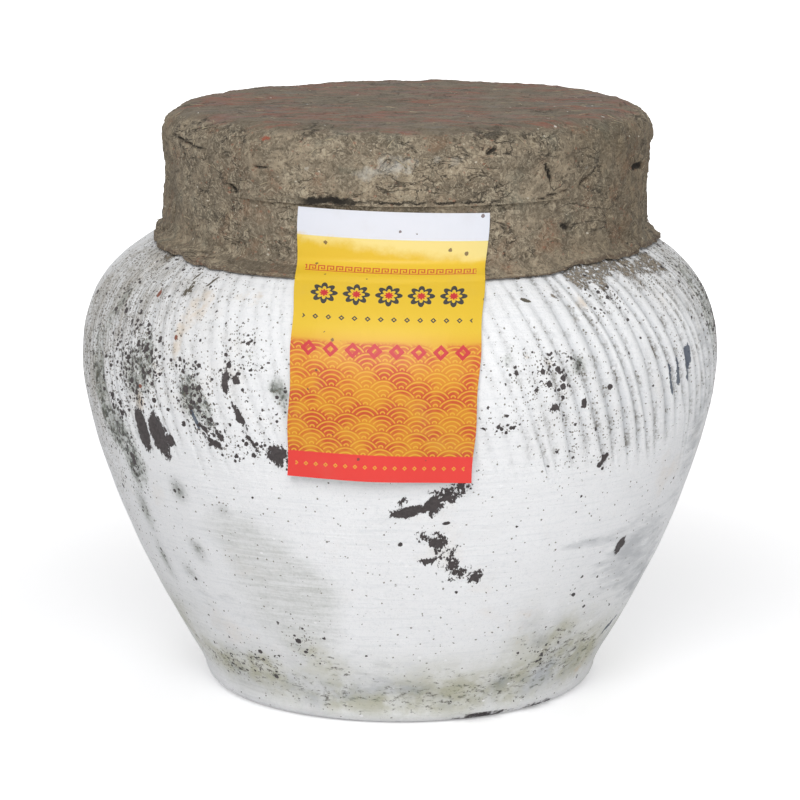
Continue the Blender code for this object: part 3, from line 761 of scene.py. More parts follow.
# Stains on the limewash, each with its azimuth in degrees, its height, half width and half
# height in millimetres, and its strength
STAINS = {
    "mould": (
        (-62.6, 256, 8, 12, 0.8), (-65, 241, 9, 14, 0.8), (-49.5, 232, 11, 12, 1),
        (-52, 214, 17, 18, 1.2), (-66, 200, 10, 24, 1.3), (-61, 176, 18, 14, 1.5),
        (-56.4, 155, 13, 14, 1.4), (-38.3, 213, 12, 14, 1.1), (-36, 203, 10, 7, 0.9),
        (-20.6, 218.5, 5.6, 5.6, 2), (-19.3, 209, 2.6, 7, 1.1), (-34.5, 196, 14, 10, 0.5),
        (-70, 222, 8, 30, 0.8), (76, 244, 9, 34, 1.3), (-26.4, 235.6, 6, 4, 0.7),
        (-24, 228, 12, 4, 0.5), (-44.4, 147.3, 7, 7, 0.8), (-44.1, 108.6, 8, 6, 0.7),
        (-50, 90.5, 10, 6, 0.6), (-59, 127, 10, 16, 0.8), (-59.6, 93, 9, 16, 0.8),
        (-33, 191, 12, 8, 0.4), (18.3, 234.8, 6, 4, 1.1), (31.6, 229.4, 6, 6, 1.2),
        (29.4, 222, 10, 10, 0.5), (84, 240, 24, 45, 0.8), (-34, 140, 5, 4, 0.5),
        (37, 35, 14, 6, 0.6), (18, 20, 18, 7, 0.5), (110, 205, 26, 32, 0.8),
        (165, 190, 36, 20, 0.9), (-140, 225, 26, 24, 0.9), (-110, 120, 22, 28, 0.8),
        (140, 80, 26, 20, 0.7),
    ),
    "blots": (
        (35, 52, 10, 6, 0.5), (27, 26, 9, 4, 0.5), (40, 34, 8, 4, 0.4), (4, 22, 16, 4, 0.3),
        (-20.6, 218.5, 4.6, 4.6, 1), (-19.3, 209, 2.4, 6, 0.5), (-44.4, 147.3, 6, 6, 0.8),
        (-44.1, 108.6, 6, 4.6, 0.8), (-34, 140, 5, 3.6, 0.35), (-50, 90.5, 7, 4.4, 0.4),
        (-59, 127, 7, 12, 0.5), (-59.6, 93, 7, 11, 0.4), (-61, 176, 11, 9, 0.6),
        (-56.4, 155, 8, 9, 0.6), (-66, 205, 7, 15, 0.5), (-52, 212, 10, 11, 0.4),
        (-38.3, 213, 7, 8, 0.5), (31.6, 229.4, 4, 4, 0.6), (84, 240, 18, 30, 0.4),
        (-130, 180, 12, 12, 0.5), (150, 150, 10, 10, 0.5),
    ),
    "specks": (
        (24, 218, 18, 12, 0.8), (25, 233, 18, 7, 1), (31, 185, 12, 16, 0.5), (38, 180, 8, 22, 0.3),
        (-34, 187, 13, 9, 1.6), (-29.5, 179, 12, 6, 1.2), (-50, 218, 20, 20, 1.3),
        (-55, 232, 16, 14, 1.1), (-38, 216, 14, 12, 1.5), (-30.8, 230, 5, 13, 1.6),
        (-27.5, 243, 7, 7, 1.3), (-25.5, 231, 14, 5, 1.1), (-23, 182, 12, 6, 1),
        (-20, 176, 10, 6, 1), (-58, 200, 14, 22, 1.1), (42, 262, 18, 12, 0.8),
        (-52, 30, 30, 8, 0.9), (-38, 33, 10, 5, 1.2), (12, 205, 10, 6, 0.8), (17, 198, 10, 5, 0.9),
        (58, 225, 6, 10, 0.7), (72, 255, 10, 30, 0.6), (-22, 56, 10, 12, 0.8),
        (40, 40, 14, 8, 0.8), (-58, 250, 40, 30, 0.25), (-30, 255, 30, 18, 0.15),
        (84, 235, 16, 50, 0.9), (-35, 35, 20, 10, 0.6), (-24, 205, 14, 14, 0.5),
        (120, 230, 50, 30, 0.8), (-150, 200, 60, 40, 0.8), (170, 110, 50, 30, 0.6),
    ),
    "grit": (
        (-64, 262, 50, 30, 1.1), (-74, 235, 34, 50, 1.3), (-44, 277, 30, 14, 0.6),
        (62, 272, 40, 18, 0.7), (84, 250, 30, 50, 0.9), (40, 180, 30, 24, 0.15),
        (-70, 170, 24, 50, 0.6), (-40, 230, 40, 30, 0.3), (28, 210, 30, 30, 0.3),
        (130, 250, 60, 40, 0.7), (-140, 240, 70, 40, 0.8), (175, 180, 60, 60, 0.5),
    ),
    "ochre": (
        (-40, 258, 12, 12, 1.1), (-42, 238, 6, 14, 1.1), (-51, 200.5, 6, 9, 1.5),
        (-46, 222, 8, 8, 0.8), (-30, 266, 22, 6, 0.8), (36, 262, 7, 6, 1.2), (33, 253, 5, 4, 0.7),
        (41, 178, 8, 14, 0.5), (22.2, 236.5, 3, 4, 1), (25.6, 233.1, 4, 3, 1),
        (29.7, 62, 24, 22, 0.6), (60, 20, 10, 8, 1.3), (-140, 150, 20, 30, 0.5),
        (150, 245, 15, 12, 0.8),
    ),
    "smear": (
        (-34, 128, 28, 18, 0.6), (-27.5, 112, 34, 24, 0.8), (-25, 92, 40, 22, 0.8),
        (-17, 86, 22, 18, 0.6), (-30, 68, 50, 16, 0.5), (-21, 58, 30, 10, 0.7),
        (-60, 60, 50, 22, 0.7), (26, 55, 28, 20, 0.5), (-46, 16, 60, 14, 0.9),
        (-10, 12, 60, 8, 0.6), (20, 14, 60, 10, 0.7), (60, 20, 60, 12, 0.6),
        (120, 100, 60, 30, 0.8), (-150, 70, 70, 30, 0.8),
    ),
    "thin": (
        (70, 235, 22, 40, 0.7), (70, 165, 26, 40, 0.8), (55, 102, 52, 30, 1),
        (35, 118, 30, 4, 0.7), (70, 70, 40, 20, 0.8), (-5, 26, 50, 9, 0.7), (12, 20, 40, 8, 0.6),
        (50, 45, 20, 14, 0.5), (-70, 160, 40, 40, 0.5), (150, 140, 60, 30, 0.8),
        (-45, 75, 50, 20, 0.5), (-8, 45, 50, 14, 0.5), (-120, 60, 50, 20, 0.8),
    ),
    "soil": (
        (45, 45, 50, 28, 0.4), (8, 30, 70, 16, 0.5), (-32, 34, 60, 14, 0.4), (-52, 28, 55, 11, 1),
        (-38, 34, 16, 6, 0.9), (-22, 18, 50, 11, 0.9), (0, 16, 50, 10, 0.8), (17, 18, 40, 12, 0.8),
        (34, 22, 34, 14, 1), (52, 32, 40, 16, 1.1), (41, 50, 14, 14, 0.8), (30, 60, 12, 16, 0.5),
        (-22, 50, 16, 7, 0.8), (-16, 40, 14, 6, 0.8), (-70, 50, 30, 20, 0.6),
        (90, 30, 90, 18, 0.9), (140, 22, 90, 14, 0.9), (-170, 26, 90, 16, 0.9),
        (-115, 30, 90, 16, 0.9),
    ),
    "caked": (
        (41, 278.5, 12, 4.5, 1.2), (48, 277, 16, 6, 1.2), (38.3, 273, 7, 9, 1),
        (43.5, 270, 6, 8, 1.1), (56, 274, 14, 6, 1), (66, 273, 18, 8, 1.2),
        (26, 278, 14, 3.5, 0.9), (-62, 279, 14, 4, 0.9), (33, 279, 12, 4, 0.9),
        (-40, 280, 16, 3, 0.7), (55, 264, 5, 5, 0.8), (31, 267, 4, 3, 0.9), (100, 274, 30, 8, 0.9),
        (170, 275, 40, 7, 0.9), (-120, 274, 40, 7, 0.9),
    ),
    "combed": (
        (-62, 252, 50, 34, 1), (-75, 225, 30, 35, 0.8), (75, 258, 40, 24, 0.8),
        (130, 255, 50, 25, 0.7), (-130, 250, 50, 30, 0.8),
    ),
    "sooty": (
        (24, 2, 40, 4.5, 1), (46, 2, 30, 4, 0.9), (-30, 1, 20, 3, 0.5), (62.5, 12.3, 4, 3, 1),
        (150, 2, 70, 4.5, 0.9), (-140, 2, 50, 4.5, 0.8),
    ),
}

# Bare patches where the limewash has flaked off, each with its azimuth in degrees, its height,
# half width and half height in millimetres, its lean in degrees and its raggedness
FLAKES = (
    (-51.2, 181.2, 5.6, 13, 14, 0.5), (-46.8, 180.8, 7.2, 14.2, 18, 0.5),
    (-43.6, 178.5, 4, 3.4, 0, 0.6), (-27.8, 200, 2.1, 8.5, 32, 0.9),
    (-25.9, 186, 1.4, 6.2, 38, 1.2), (-21.2, 178, 5.6, 6.6, 10, 0.7),
    (1.6, 146.6, 12, 3.4, 10, 0.6), (6, 151.2, 6.4, 4.6, 35, 0.8), (8.6, 158.5, 9, 4.4, 30, 1.7),
    (0.6, 154.5, 3.6, 2.6, 40, 1.4), (8.4, 139.2, 2.4, 1, 10, 0.5),
    (6.6, 126.5, 10, 4.4, -24, 1.5), (5.6, 115, 8.5, 1.8, 12, 1.5), (10, 109.5, 7, 5.2, -30, 1.9),
    (14.7, 103.8, 4.2, 4.2, 0, 1.3), (49.6, 109, 4, 5.8, -24, 0.6),
    (38, 170.2, 1.9, 4.2, -32, 0.5), (37.1, 167.2, 2.2, 1.8, 0, 0.4),
    (26.8, 205.9, 3.4, 2.6, 0, 0.9), (32.4, 207.2, 2, 3.6, -10, 0.9),
    (-50, 218.5, 2.4, 2.6, 0, 0.8), (-30.6, 220.5, 2.6, 6.4, 4, 1), (-28.6, 221.5, 3, 3, 0, 0.6),
    (-57, 160, 2.6, 4, 30, 0.7), (-35.4, 190.5, 4.2, 1.8, -20, 0.9), (-32, 187, 3, 1.6, -30, 0.9),
    (-33.4, 182, 4.8, 1.6, -24, 1.2), (-52, 204, 2.2, 2.2, 0, 0.7), (95, 178, 9, 13, 15, 0.9),
    (118, 150, 6, 10, -20, 0.9), (155, 205, 10, 16, 8, 0.9), (160, 130, 14, 6, -12, 0.9),
    (-170, 165, 7, 18, 18, 0.9), (-150, 100, 12, 7, 20, 1.2), (-128, 190, 9, 12, -16, 0.9),
    (-98, 150, 8, 14, 12, 0.9), (-95, 85, 9, 5, 0, 1.2),
)
# Dark blue-grey strokes of thin wash and scratches, as above
STROKES = (
    (60.3, 218.5, 4.2, 10.5, -4, 0.5), (56.6, 214.4, 3.2, 8.5, -4, 0.5),
    (54.2, 210, 2.6, 8, 6, 0.5), (-37, 195, 0.9, 8, 22, 0.5), (64, 43, 10, 2, 28, 1.2),
    (135, 200, 2, 11, 4, 0.4),
)
# Specks of brick dust, and scratches full of mud, as above
BRICK_SPECKS = (
    (-52.2, 261.2, 1.3, 2, 20, 0.3), (-42.5, 240.5, 1.4, 1.6, 0, 0.4),
    (-50.5, 208.5, 1.6, 1.3, 0, 0.4), (140, 240, 1.8, 2.6, 0, 0.4),
)
SCRATCHES = (
    (-40.6, 271.2, 0.9, 4, -40, 0.7), (-44.8, 267.2, 2.8, 3.4, 10, 1.2),
    (-45.6, 272.2, 0.8, 2.4, -30, 0.8), (24.5, 266, 4, 1.1, -20, 0.5),
)


def stain_levels(table, azimuth, height, radius):
    """How strongly a table of stains marks each point of the wall."""
    level = np.zeros(len(height))
    for centre, middle, wide, tall, strength in table:
        aside = np.radians((azimuth - centre + 180) % 360 - 180) * radius / (wide * MM)
        level += strength * np.exp(-(aside ** 2 + ((height - middle * MM) / (tall * MM)) ** 2))
    return np.minimum(level, 1)


def patches(draw, wall, edge, table, radius):
    """All the patches of a table as one mask."""
    return draw.most(0.0, *(
        draw.effect("Flake", Wall=wall, Edge=edge, Ragged=ragged, Lean=math.radians(lean),
                    Centre=(math.radians(azimuth) * radius, height * MM, 0),
                    Reach=(wide * MM, tall * MM, 1))
        for azimuth, height, wide, tall, lean, ragged in table))


def stained(draw, place, name, scale, softness, gain=0.5):
    """Cloudy patches where a noted stain is strong."""
    amount = draw.noted(name) * gain + 0.2
    return draw.effect("Cloud", Place=place, Scale=scale, Amount=amount, Softness=softness)


def shade(tone, share):
    """A darker or lighter tone of a colour."""
    return [value * share for value in tone]


def limewash_finish(look):
    """Brushed limewash over dark stoneware: flakes, mould, specks, stains and dirt."""
    draw = Finish("limewashed_stoneware", 0.85)
    place = draw.place()
    wall = draw.mapped("wall")
    along, height, _ = draw.axes(wall)
    grain = draw.noise(place, 1300, 2, 0.6)
    crumbs = draw.noise(place, 430, 4, 0.68)
    clots = draw.noise(place, 70, 4, 0.62)
    broad = draw.noise(place, 11, 3, 0.55)
    brushed = draw.noise(wall, (26, 560, 1), 4, 0.62, 0.5)
    groove = draw.noted("groove")

    warm = draw.noise(draw.stretch(place, shift=(3, 1, 2)), 22, 4, 0.6)
    base = draw.coats(
        look.limewash,
        (draw.step(broad, 0.35, 0.70, 0.6), shade(look.limewash, 0.93)),
        (draw.step(brushed, 0.46, 0.78, 0.30), look.wash),
        (draw.step(crumbs, 0.50, 0.74, 0.32), look.wash),
        (draw.step(grain, 0.58, 0.74, 0.30), shade(look.wash, 0.6)),
        (draw.step(warm, 0.56, 0.80, 0.22), look.ochre))

    smear = stained(draw, draw.stretch(wall, (1, 1.5, 1)), "smear", 26.0, 0.80, 0.85)
    smear = smear * draw.step(brushed, 0.36, 0.60, 1.0, 0.55)
    smear = smear * draw.step(crumbs, 0.36, 0.62, 1.0, 0.75)
    thin = stained(draw, draw.stretch(wall, (1, 4, 1)), "thin", 40.0, 0.35, 0.60)
    ochre = stained(draw, place, "ochre", 120.0, 0.40, 0.50)
    base = draw.coats(
        base,
        (smear * 0.60, look.smear),
        (thin * 0.65, shade(look.wash, 0.62)),
        (ochre * 0.75, look.ochre))

    soil = draw.noted("soil")
    dashes = draw.noise(wall, (120, 380, 1), 4, 0.68, 0.5)
    dashes = draw.step(soil * 0.17 + dashes, 0.68, 0.80, draw.step(crumbs, 0.36, 0.60, 0.95, 0.35))
    base = draw.coats(
        base,
        (soil * draw.step(clots, 0.34, 0.60, 0.90, 0.45),
         draw.mix(draw.step(warm, 0.48, 0.70), look.soil, shade(look.wash, 0.75))),
        (dashes,
         draw.mix(draw.step(clots, 0.45, 0.60), shade(look.grime, 0.6), shade(look.mould, 1.1))))

    slant = look.rib_lean / (look.shoulder_height - look.rib_foot) * look.belly_radius
    rib_line = height * slant + along
    combed = draw.noise(draw.add("ShaderNodeCombineXYZ", {0: rib_line * 620.0, 1: height * 34.0}),
                        1.0, 3, 0.6, 0.3)
    combed = draw.step(combed, 0.46, 0.62) * draw.noted("combed")
    grit = draw.noted("grit")
    base = draw.coats(
        base,
        (combed * 0.55, shade(look.grime, 1.7)),
        (grit * draw.step(clots, 0.30, 0.70, 0.50), shade(look.grime, 2.4)))

    dirt = draw.step(clots, 0.42, 0.62)
    # Painted shade in the comb's grooves: a cool grey darkening by the depth of the cut. After it,
    # real grime in parts of the grooves.
    grooved = groove ** 1.3
    base = draw.mix(grooved * 0.62, base, shade(look.wash, 0.66))
    grooved = grooved * dirt * draw.step(crumbs, 0.44, 0.56)
    base = draw.mix(grooved * 0.9, base, look.grime)

    halo = stained(draw, place, "mould", 60.0, 0.55, 0.56)
    halo = halo * draw.step(crumbs, 0.34, 0.58, 1.0, 0.55)
    mould = stained(draw, place, "mould", 150.0, 0.22, 0.36)
    mould = mould * draw.step(crumbs, 0.38, 0.54, 1.0, 0.30)
    core = stained(draw, draw.stretch(place, shift=(1, 2, 3)), "mould", 240.0, 0.10, 0.31)
    blot = draw.noted("blots") * draw.step(crumbs, 0.36, 0.58, 0.95, 0.60)
    base = draw.coats(
        base,
        (halo * 0.60, shade(look.mould, 2.3)),
        (mould * 0.72, shade(look.mould, 1.2)),
        (core * 0.85, shade(look.mould, 0.25)),
        (blot, shade(look.mould, 0.75)))

    speckled = draw.noted("mould") * 0.45 + draw.noted("specks")
    clumped = speckled * draw.step(clots, 0.38, 0.58, 1.0, 0.30)
    many = grit * 0.80 + speckled * 0.45 + 0.03
    many = many + (combed + groove) * 0.18
    tiny = draw.effect("Speckle", Place=place, Scale=760.0, Size=0.52, Amount=many)
    clumped = clumped ** 1.6
    small = draw.effect("Speckle", Place=place, Scale=400.0, Size=0.56,
                        Amount=clumped * 0.80 + grit * 0.05 + 0.003)
    coarse = draw.effect("Speckle", Place=place, Scale=215.0, Size=0.46,
                         Amount=clumped * 0.75 + 0.0012)
    nicks = draw.effect("Speckle", Place=draw.stretch(place, shift=(1, 1, 1)), Scale=260.0,
                        Size=0.30, Amount=0.03)
    base = draw.coats(
        base,
        (tiny * 0.85, look.grime),
        (nicks * 0.6, (0.95, 0.95, 0.96)))

    caked = stained(draw, place, "caked", 120.0, 0.12, 0.52)
    mud = bpy.context.scene.mud_look
    caked = caked * draw.step(crumbs, 0.42, 0.50)
    base = draw.mix(caked * 0.9, base, draw.mix(draw.step(grain, 0.38, 0.62), shade(mud.dark, 1.2),
                                                shade(mud.mean, 1.15)))

    jagged = draw.noise(wall, (620, 430, 1), 3, 0.62, 0.6)
    ragged = (draw.noise(place, 150, 2, 0.5) - 0.5) * 2.2 + (jagged - 0.5) * 2.2
    radius = look.belly_radius
    sooty = stained(draw, draw.stretch(wall, (1, 3, 1)), "sooty", 120.0, 0.14)
    flakes = draw.most(patches(draw, wall, ragged, FLAKES, radius), small, coarse, sooty)
    ware = draw.mix(draw.step(crumbs, 0.35, 0.65), look.ware, shade(look.ware, 1.7))
    base = draw.coats(
        base,
        (patches(draw, wall, ragged, STROKES, radius) * 0.9, look.stroke),
        (patches(draw, wall, ragged, SCRATCHES, radius), shade(look.grime, 0.8)),
        (flakes, ware),
        (patches(draw, wall, ragged, BRICK_SPECKS, radius), mud.brick))

    normal = draw.bumps((flakes * -1.0, 0.0006, 1.0), (brushed, 0.0006, 0.6),
                        (combed, 0.0008, 0.6), (grain, 0.00022, 0.45), (crumbs, 0.0007, 0.5),
                        (caked, 0.0012, 0.8))
    rough = draw.step(flakes, 0.0, 1.0, 0.55, 0.85)
    return draw.done(Base_Color=base, Normal=normal, Roughness=rough)


def bare_ware_finish(look):
    """Unglazed fired clay of the mouth and the inside, with turning marks."""
    draw = Finish("bare_stoneware", 0.6)
    place = draw.place()
    grain = draw.noise(place, 420, 4, 0.6)
    broad = draw.noise(place, 24, 4, 0.6)
    rings = draw.noise(place, (8, 8, 420), 2, 0.5)
    dots = draw.effect("Speckle", Place=place, Scale=260.0, Size=0.4, Amount=0.14)
    base = draw.coats(
        shade(look.ware, 2.2),
        (draw.step(broad, 0.3, 0.7), (0.20, 0.115, 0.072)),
        (draw.step(rings, 0.4, 0.75, 0.4), look.ware),
        (dots * 0.7, look.ware))
    normal = draw.bumps((grain, 0.0004, 0.5), (rings, 0.0008, 0.5))
    return draw.done(Base_Color=base, Normal=normal)


def mud_finish(look):
    """Dried mud matted with chopped straw, with crevices, dust and a stained, trodden top."""
    draw = Finish("dried_mud", 0.95)
    place = draw.place()
    x, _, height = draw.axes(place)
    broad = draw.noise(place, 17, 5, 0.62)
    middle = draw.noise(place, 85, 5, 0.65)
    fine = draw.noise(place, 700, 3, 0.65)
    long_fibres = draw.effect("Fibres", Place=place, Clumps=62.0, Fineness=430.0, Length=4.5)
    short_fibres = draw.effect("Fibres", Place=draw.stretch(place, shift=(0.4, 0.2, 0.7)),
                               Clumps=120.0, Fineness=640.0, Length=3.5)
    folds = draw.noise(place, (22, 22, 48), 4, 0.55, 2.0)

    warm = draw.noise(draw.stretch(place, shift=(2, 5, 1)), 46, 4, 0.6)
    torn = draw.noise(draw.stretch(place, shift=(4, 4, 9)), 34, 3, 0.6)
    matted = draw.step(torn, 0.38, 0.60, 0.62, 0.30)
    chips = draw.effect("Speckle", Place=draw.stretch(place, (1, 1, 1.5)), Scale=420.0, Size=0.55,
                        Amount=0.16)
    base = draw.coats(
        shade(look.mean, 0.62),
        (draw.step(middle, 0.32, 0.68), shade(look.mean, 1.42)),
        (draw.step(broad, 0.40, 0.60, 0.75), shade(look.mean, 0.66)),
        (draw.step(warm, 0.54, 0.72, 0.50), (0.25, 0.140, 0.080)),
        (draw.step(warm, 0.28, 0.45, 0.0, 0.50), (0.175, 0.180, 0.140)),
        (draw.step(long_fibres, 0.53, 0.66, matted), look.light),
        (draw.step(long_fibres, 0.34, 0.47, 0.0, 0.66), look.dark),
        (draw.step(short_fibres, 0.54, 0.64, matted), look.light),
        (draw.step(short_fibres, 0.34, 0.46, 0.0, 0.62), look.dark),
        (chips * 0.45, draw.mix(draw.step(warm, 0.44, 0.56), look.light, (0.30, 0.120, 0.070))))

    # Painted shade: the cracks of the folds, the broken line under the flat top, the crevices and
    # the pores between the fibres are darkened in colour, and the same marks are pressed in as
    # bumps.
    crease = abs(folds - 0.5)
    crack = draw.step(crease, 0.003, 0.014, 0.0, 1.0) * draw.step(torn, 0.48, 0.56)
    uneven = (middle - 0.5) * 0.010 + (fine - 0.5) * 0.002
    level = height + uneven
    rim = abs(level - (MUD_HIGH.z - look.rim_crack))
    rim = draw.step(rim, 0.0002, 0.0009, 0.0, 1.0) * draw.step(torn, 0.52, 0.60)
    # Painted shadow under the ledge that overhangs the slip's upper edge, darkest towards the left.
    slit_height = MUD_HIGH.z - look.slip_drop + look.ledge
    slit_shadow = abs(level - slit_height)
    slit_shadow = slit_shadow / draw.step(x, -0.034, -0.022, 0.35, 1.1)
    slit_shadow = draw.step(slit_shadow, 0.0010, 0.0026, 0.0, 1.0) * draw.noted("slit_shadow")
    slit_shadow = slit_shadow * draw.step(x, -0.034, -0.022, draw.step(middle, 0.40, 0.56, 0.9), 1.0)
    slit_shadow = slit_shadow * draw.step(abs(x), 0.052, 0.064, 0.0, 1.0)
    crevice = (short_fibres - 0.5) * 1.2 + draw.noted("crevice")
    pores = draw.step(short_fibres, 0.24, 0.33, 0.0, 0.8) * draw.step(torn, 0.5, 0.6)
    # The dark mask: painted shade in the cracks, the crevices, the pores and under the ledge.
    dark = draw.most(crack * 0.65, rim * 0.6, slit_shadow, draw.step(crevice, 0.36, 0.72, 0.95), pores)
    # Painted shade along the foot's edge, where the cap meets the jar.
    foot = draw.noted("foot_shade") * draw.step(fine, 0.40, 0.52)
    base = draw.coats(
        base,
        (dark, shade(look.dark, 0.20)),
        (foot * 0.6, (0.085, 0.052, 0.036)))

    # Painted shade: the cap darkened over its right side, with further darker patches.
    shade_patches = draw.noted("shade_patches") * draw.step(middle, 0.35, 0.65, 0.80, 0.50)
    base = draw.mix(shade_patches, base, (0.54, 0.50, 0.43), "MULTIPLY")
    chalk = stained(draw, place, "chalk", 130.0, 0.30)
    rust = stained(draw, place, "rust", 260.0, 0.20)
    husks = draw.effect("Speckle", Place=draw.stretch(place, (1, 1, 1.6)), Scale=300.0, Size=0.34,
                        Amount=0.022)
    base = draw.coats(
        base,
        (chalk * 0.7, look.chalk),
        (rust * 0.8, (0.36, 0.075, 0.040)),
        (husks * 0.7, (0.66, 0.61, 0.50)))

    # The flat top is coloured darker than the wall, partly as painted shade, with streaks, brick
    # and slate dust, husks, and the painted shade of its cracks.
    top = draw.step(level, MUD_HIGH.z - look.rim_crack, MUD_HIGH.z - 0.5 * look.rim_crack)
    streak = draw.noise(place, (34, 210, 34), 4, 0.65, 0.4)
    red = draw.effect("Cloud", Place=draw.stretch(place, (1, 2, 1)), Scale=24.0, Amount=0.56,
                      Softness=0.12)
    blue = draw.effect("Cloud", Place=draw.stretch(place, (1, 3, 1), (5, 2, 0)), Scale=24.0,
                       Amount=0.48, Softness=0.14)
    trodden = draw.coats(
        shade(look.mean, 0.38),
        (draw.step(fine, 0.38, 0.64), shade(look.mean, 0.72)),
        (draw.step(middle, 0.40, 0.62, 0.5), shade(look.mean, 0.95)),
        (draw.step(streak, 0.34, 0.48, 0.0, 0.5), shade(look.mean, 0.38)),
        (red * draw.step(streak, 0.42, 0.58, 0.90), look.brick),
        (blue * draw.step(streak, 0.42, 0.62, 0.60), look.slate),
        (husks * 0.9, (0.75, 0.74, 0.70)),
        (dark * 0.6, shade(look.dark, 0.3)))
    base = draw.coats(
        base,
        (top * 0.9, trodden),
        (draw.noted("hidden") * 0.45, look.dark))

    relief = long_fibres + short_fibres * 0.6
    normal = draw.bumps((middle, 0.0020, 0.6), (relief, 0.0014, 0.6), (fine, 0.0004, 0.5),
                        (dark * -1.0, 0.0014, 0.9))
    return draw.done(Base_Color=base, Normal=normal)


def straw_finish(look):
    """Chopped straw caked with mud."""
    draw = Finish("chopped_straw", 0.8)
    place = draw.place()
    along = draw.noise(place, 140, 3, 0.6)
    caked = draw.noise(place, 55, 4, 0.6)
    base = draw.coats(
        look.straw,
        (draw.step(along, 0.3, 0.7), shade(look.straw, 0.55)),
        (draw.step(caked, 0.40, 0.60, 0.9), look.mean))
    return draw.done(Base_Color=base, Normal=draw.bumps((draw.noise(place, 1500, 2), 0.0002, 0.6)))


def slip_window(angle):
    """1 behind the paper slip at the front of the cap, 0 away from it, with a soft edge."""
    away = abs(math.remainder(angle - FRONT, TURN))
    share = min(1, max(0, (away - WINDOW_ANGLE) / WINDOW_FADE))
    return (1 + math.cos(math.pi * share)) / 2


def waves(table, angle, share):
    """Sum of a table of waves at an angle and a share of the cap's height."""
    return sum(part * math.sin(count * angle + start + turn * share)
               for count, start, turn, part in table)


def mud_outside(look, jar, angle):
    """Rows up the outside of the cap, from its foot to the middle of its flat top."""
    window = slip_window(angle)
    top = MUD_HIGH.z
    wander = waves(MUD_FOOT_WAVE_SHARES, angle, 0)
    foot = look.foot_radius + look.foot_ragged * (wander * (1 - window) + window)
    foot += look.foot_fray * waves(MUD_FRAY_WAVE_SHARES, angle, 0) * (1 - window)
    aside = math.remainder(angle - FRONT - TUCK_AZIMUTH, TURN) / TUCK_ANGLE
    foot -= look.foot_tuck * math.exp(-aside ** 2)
    low = float(shoulder_at(jar, foot)) + look.wrap_gap
    toe = low + look.foot_thickness * (1 - MUD_TOE_THIN_SHARE * window)
    flare = low + look.flare
    worn = max(0, math.cos(angle - FRONT - WORN_AZIMUTH)) ** 2
    rounding = look.edge * (1 + WORN_SHARE * worn)
    edge = top - rounding
    ledge_height = top - look.slip_drop + GAP
    ledge = look.ledge * window

    def leaning(radius, height):
        share = (height - jar.shoulder_height) / (top - jar.shoulder_height)
        lump = look.lump * waves(MUD_LUMP_WAVE_SHARES, angle, share) * (1 - window)
        return radius + look.lean * math.cos(angle) + lump

    waist = look.radius - look.waist
    middle = look.radius + (foot - look.radius) * MUD_HOLLOW_SHARE
    rows = [(foot, low), (foot, toe), (leaning(middle, toe), (toe + flare) / 2)]
    rows += [(leaning(look.radius, flare), flare)]
    middle_height = min((flare + edge) / 2, ledge_height - GAP)
    rows += [(leaning(waist, middle_height), middle_height)]
    rows += [(leaning(waist, ledge_height), ledge_height)]
    rows += [(leaning(waist, ledge_height) + ledge, ledge_height + GAP)]
    for radius, height in arc((look.radius - rounding, edge), (rounding,) * 2, 0, 90, 7):
        rows.append((leaning(radius, height) + ledge * (top - height) / rounding, height))
    return rows + [(look.radius / 2, top), (0, top)]


def mud_section(look, jar, wrap, angle):
    """The cap's section: its outside from the axis to the foot, then back along its bed."""
    outside = mud_outside(look, jar, angle)
    offset = wrap_offsets(wrap)[-1] + look.wrap_gap
    hem = wrap.sheath_length + look.wrap_gap
    bed = over_saucer(wrap, jar, offset)
    bed += [(jar.lip_radius + offset + wrap.strip, JAR_HIGH.z - jar.lip_round),
            (jar.lip_radius + offset + wrap.strip, jar.shoulder_height + offset),
            (hem, float(shoulder_at(jar, hem)) + offset + wrap.ruffle)]
    hem += offset
    foot = outside[0][0]
    bed += [(radius, float(shoulder_at(jar, radius)) + look.wrap_gap)
            for radius in np.linspace(hem, foot, 7)[:-1]]
    return outside[::-1] + bed[::-1]


# Crevices in the wall of the cap, each with its azimuth in degrees, its height, half length and
# half width in millimetres, its lean in degrees and its depth in millimetres
CREVICES = (
    (-32.5, 337.4, 6, 1.2, 0, 2.2), (-41.7, 322.8, 4, 1.5, -35, 2.8),
    (20.3, 349.4, 4.4, 1.4, 35, 2.6), (34.2, 334, 6.8, 1.4, -68, 2.8),
    (37.6, 310, 3.6, 1.8, -10, 3.4), (39.9, 301.2, 4.6, 2, -20, 3.6), (69.8, 328.6, 8, 2, 0, 4.2),
    (-60, 345.5, 30, 1.3, -5, 2.1), (-4.4, 330.3, 5, 1, 8, 1.2), (9.8, 333, 4.5, 1, -10, 1.2),
    (36, 321.2, 15, 1.2, 10, 1.8), (46.5, 328.5, 10, 1.2, 36, 1.8),
    (-48.5, 304.3, 5, 1.4, -50, 1.6), (-70, 300, 8, 1.6, 70, 2), (110, 330, 12, 1.5, 10, 2.8),
    (150, 315, 6, 1.8, -30, 3.2), (-120, 335, 10, 1.5, 5, 2.6), (-155, 320, 7, 1.6, 60, 3),
    (180, 340, 9, 1.4, -8, 2.4), (90, 308, 5, 1.6, 30, 2.6),
)
CREVICE_DEPTH = max(row[5] for row in CREVICES)
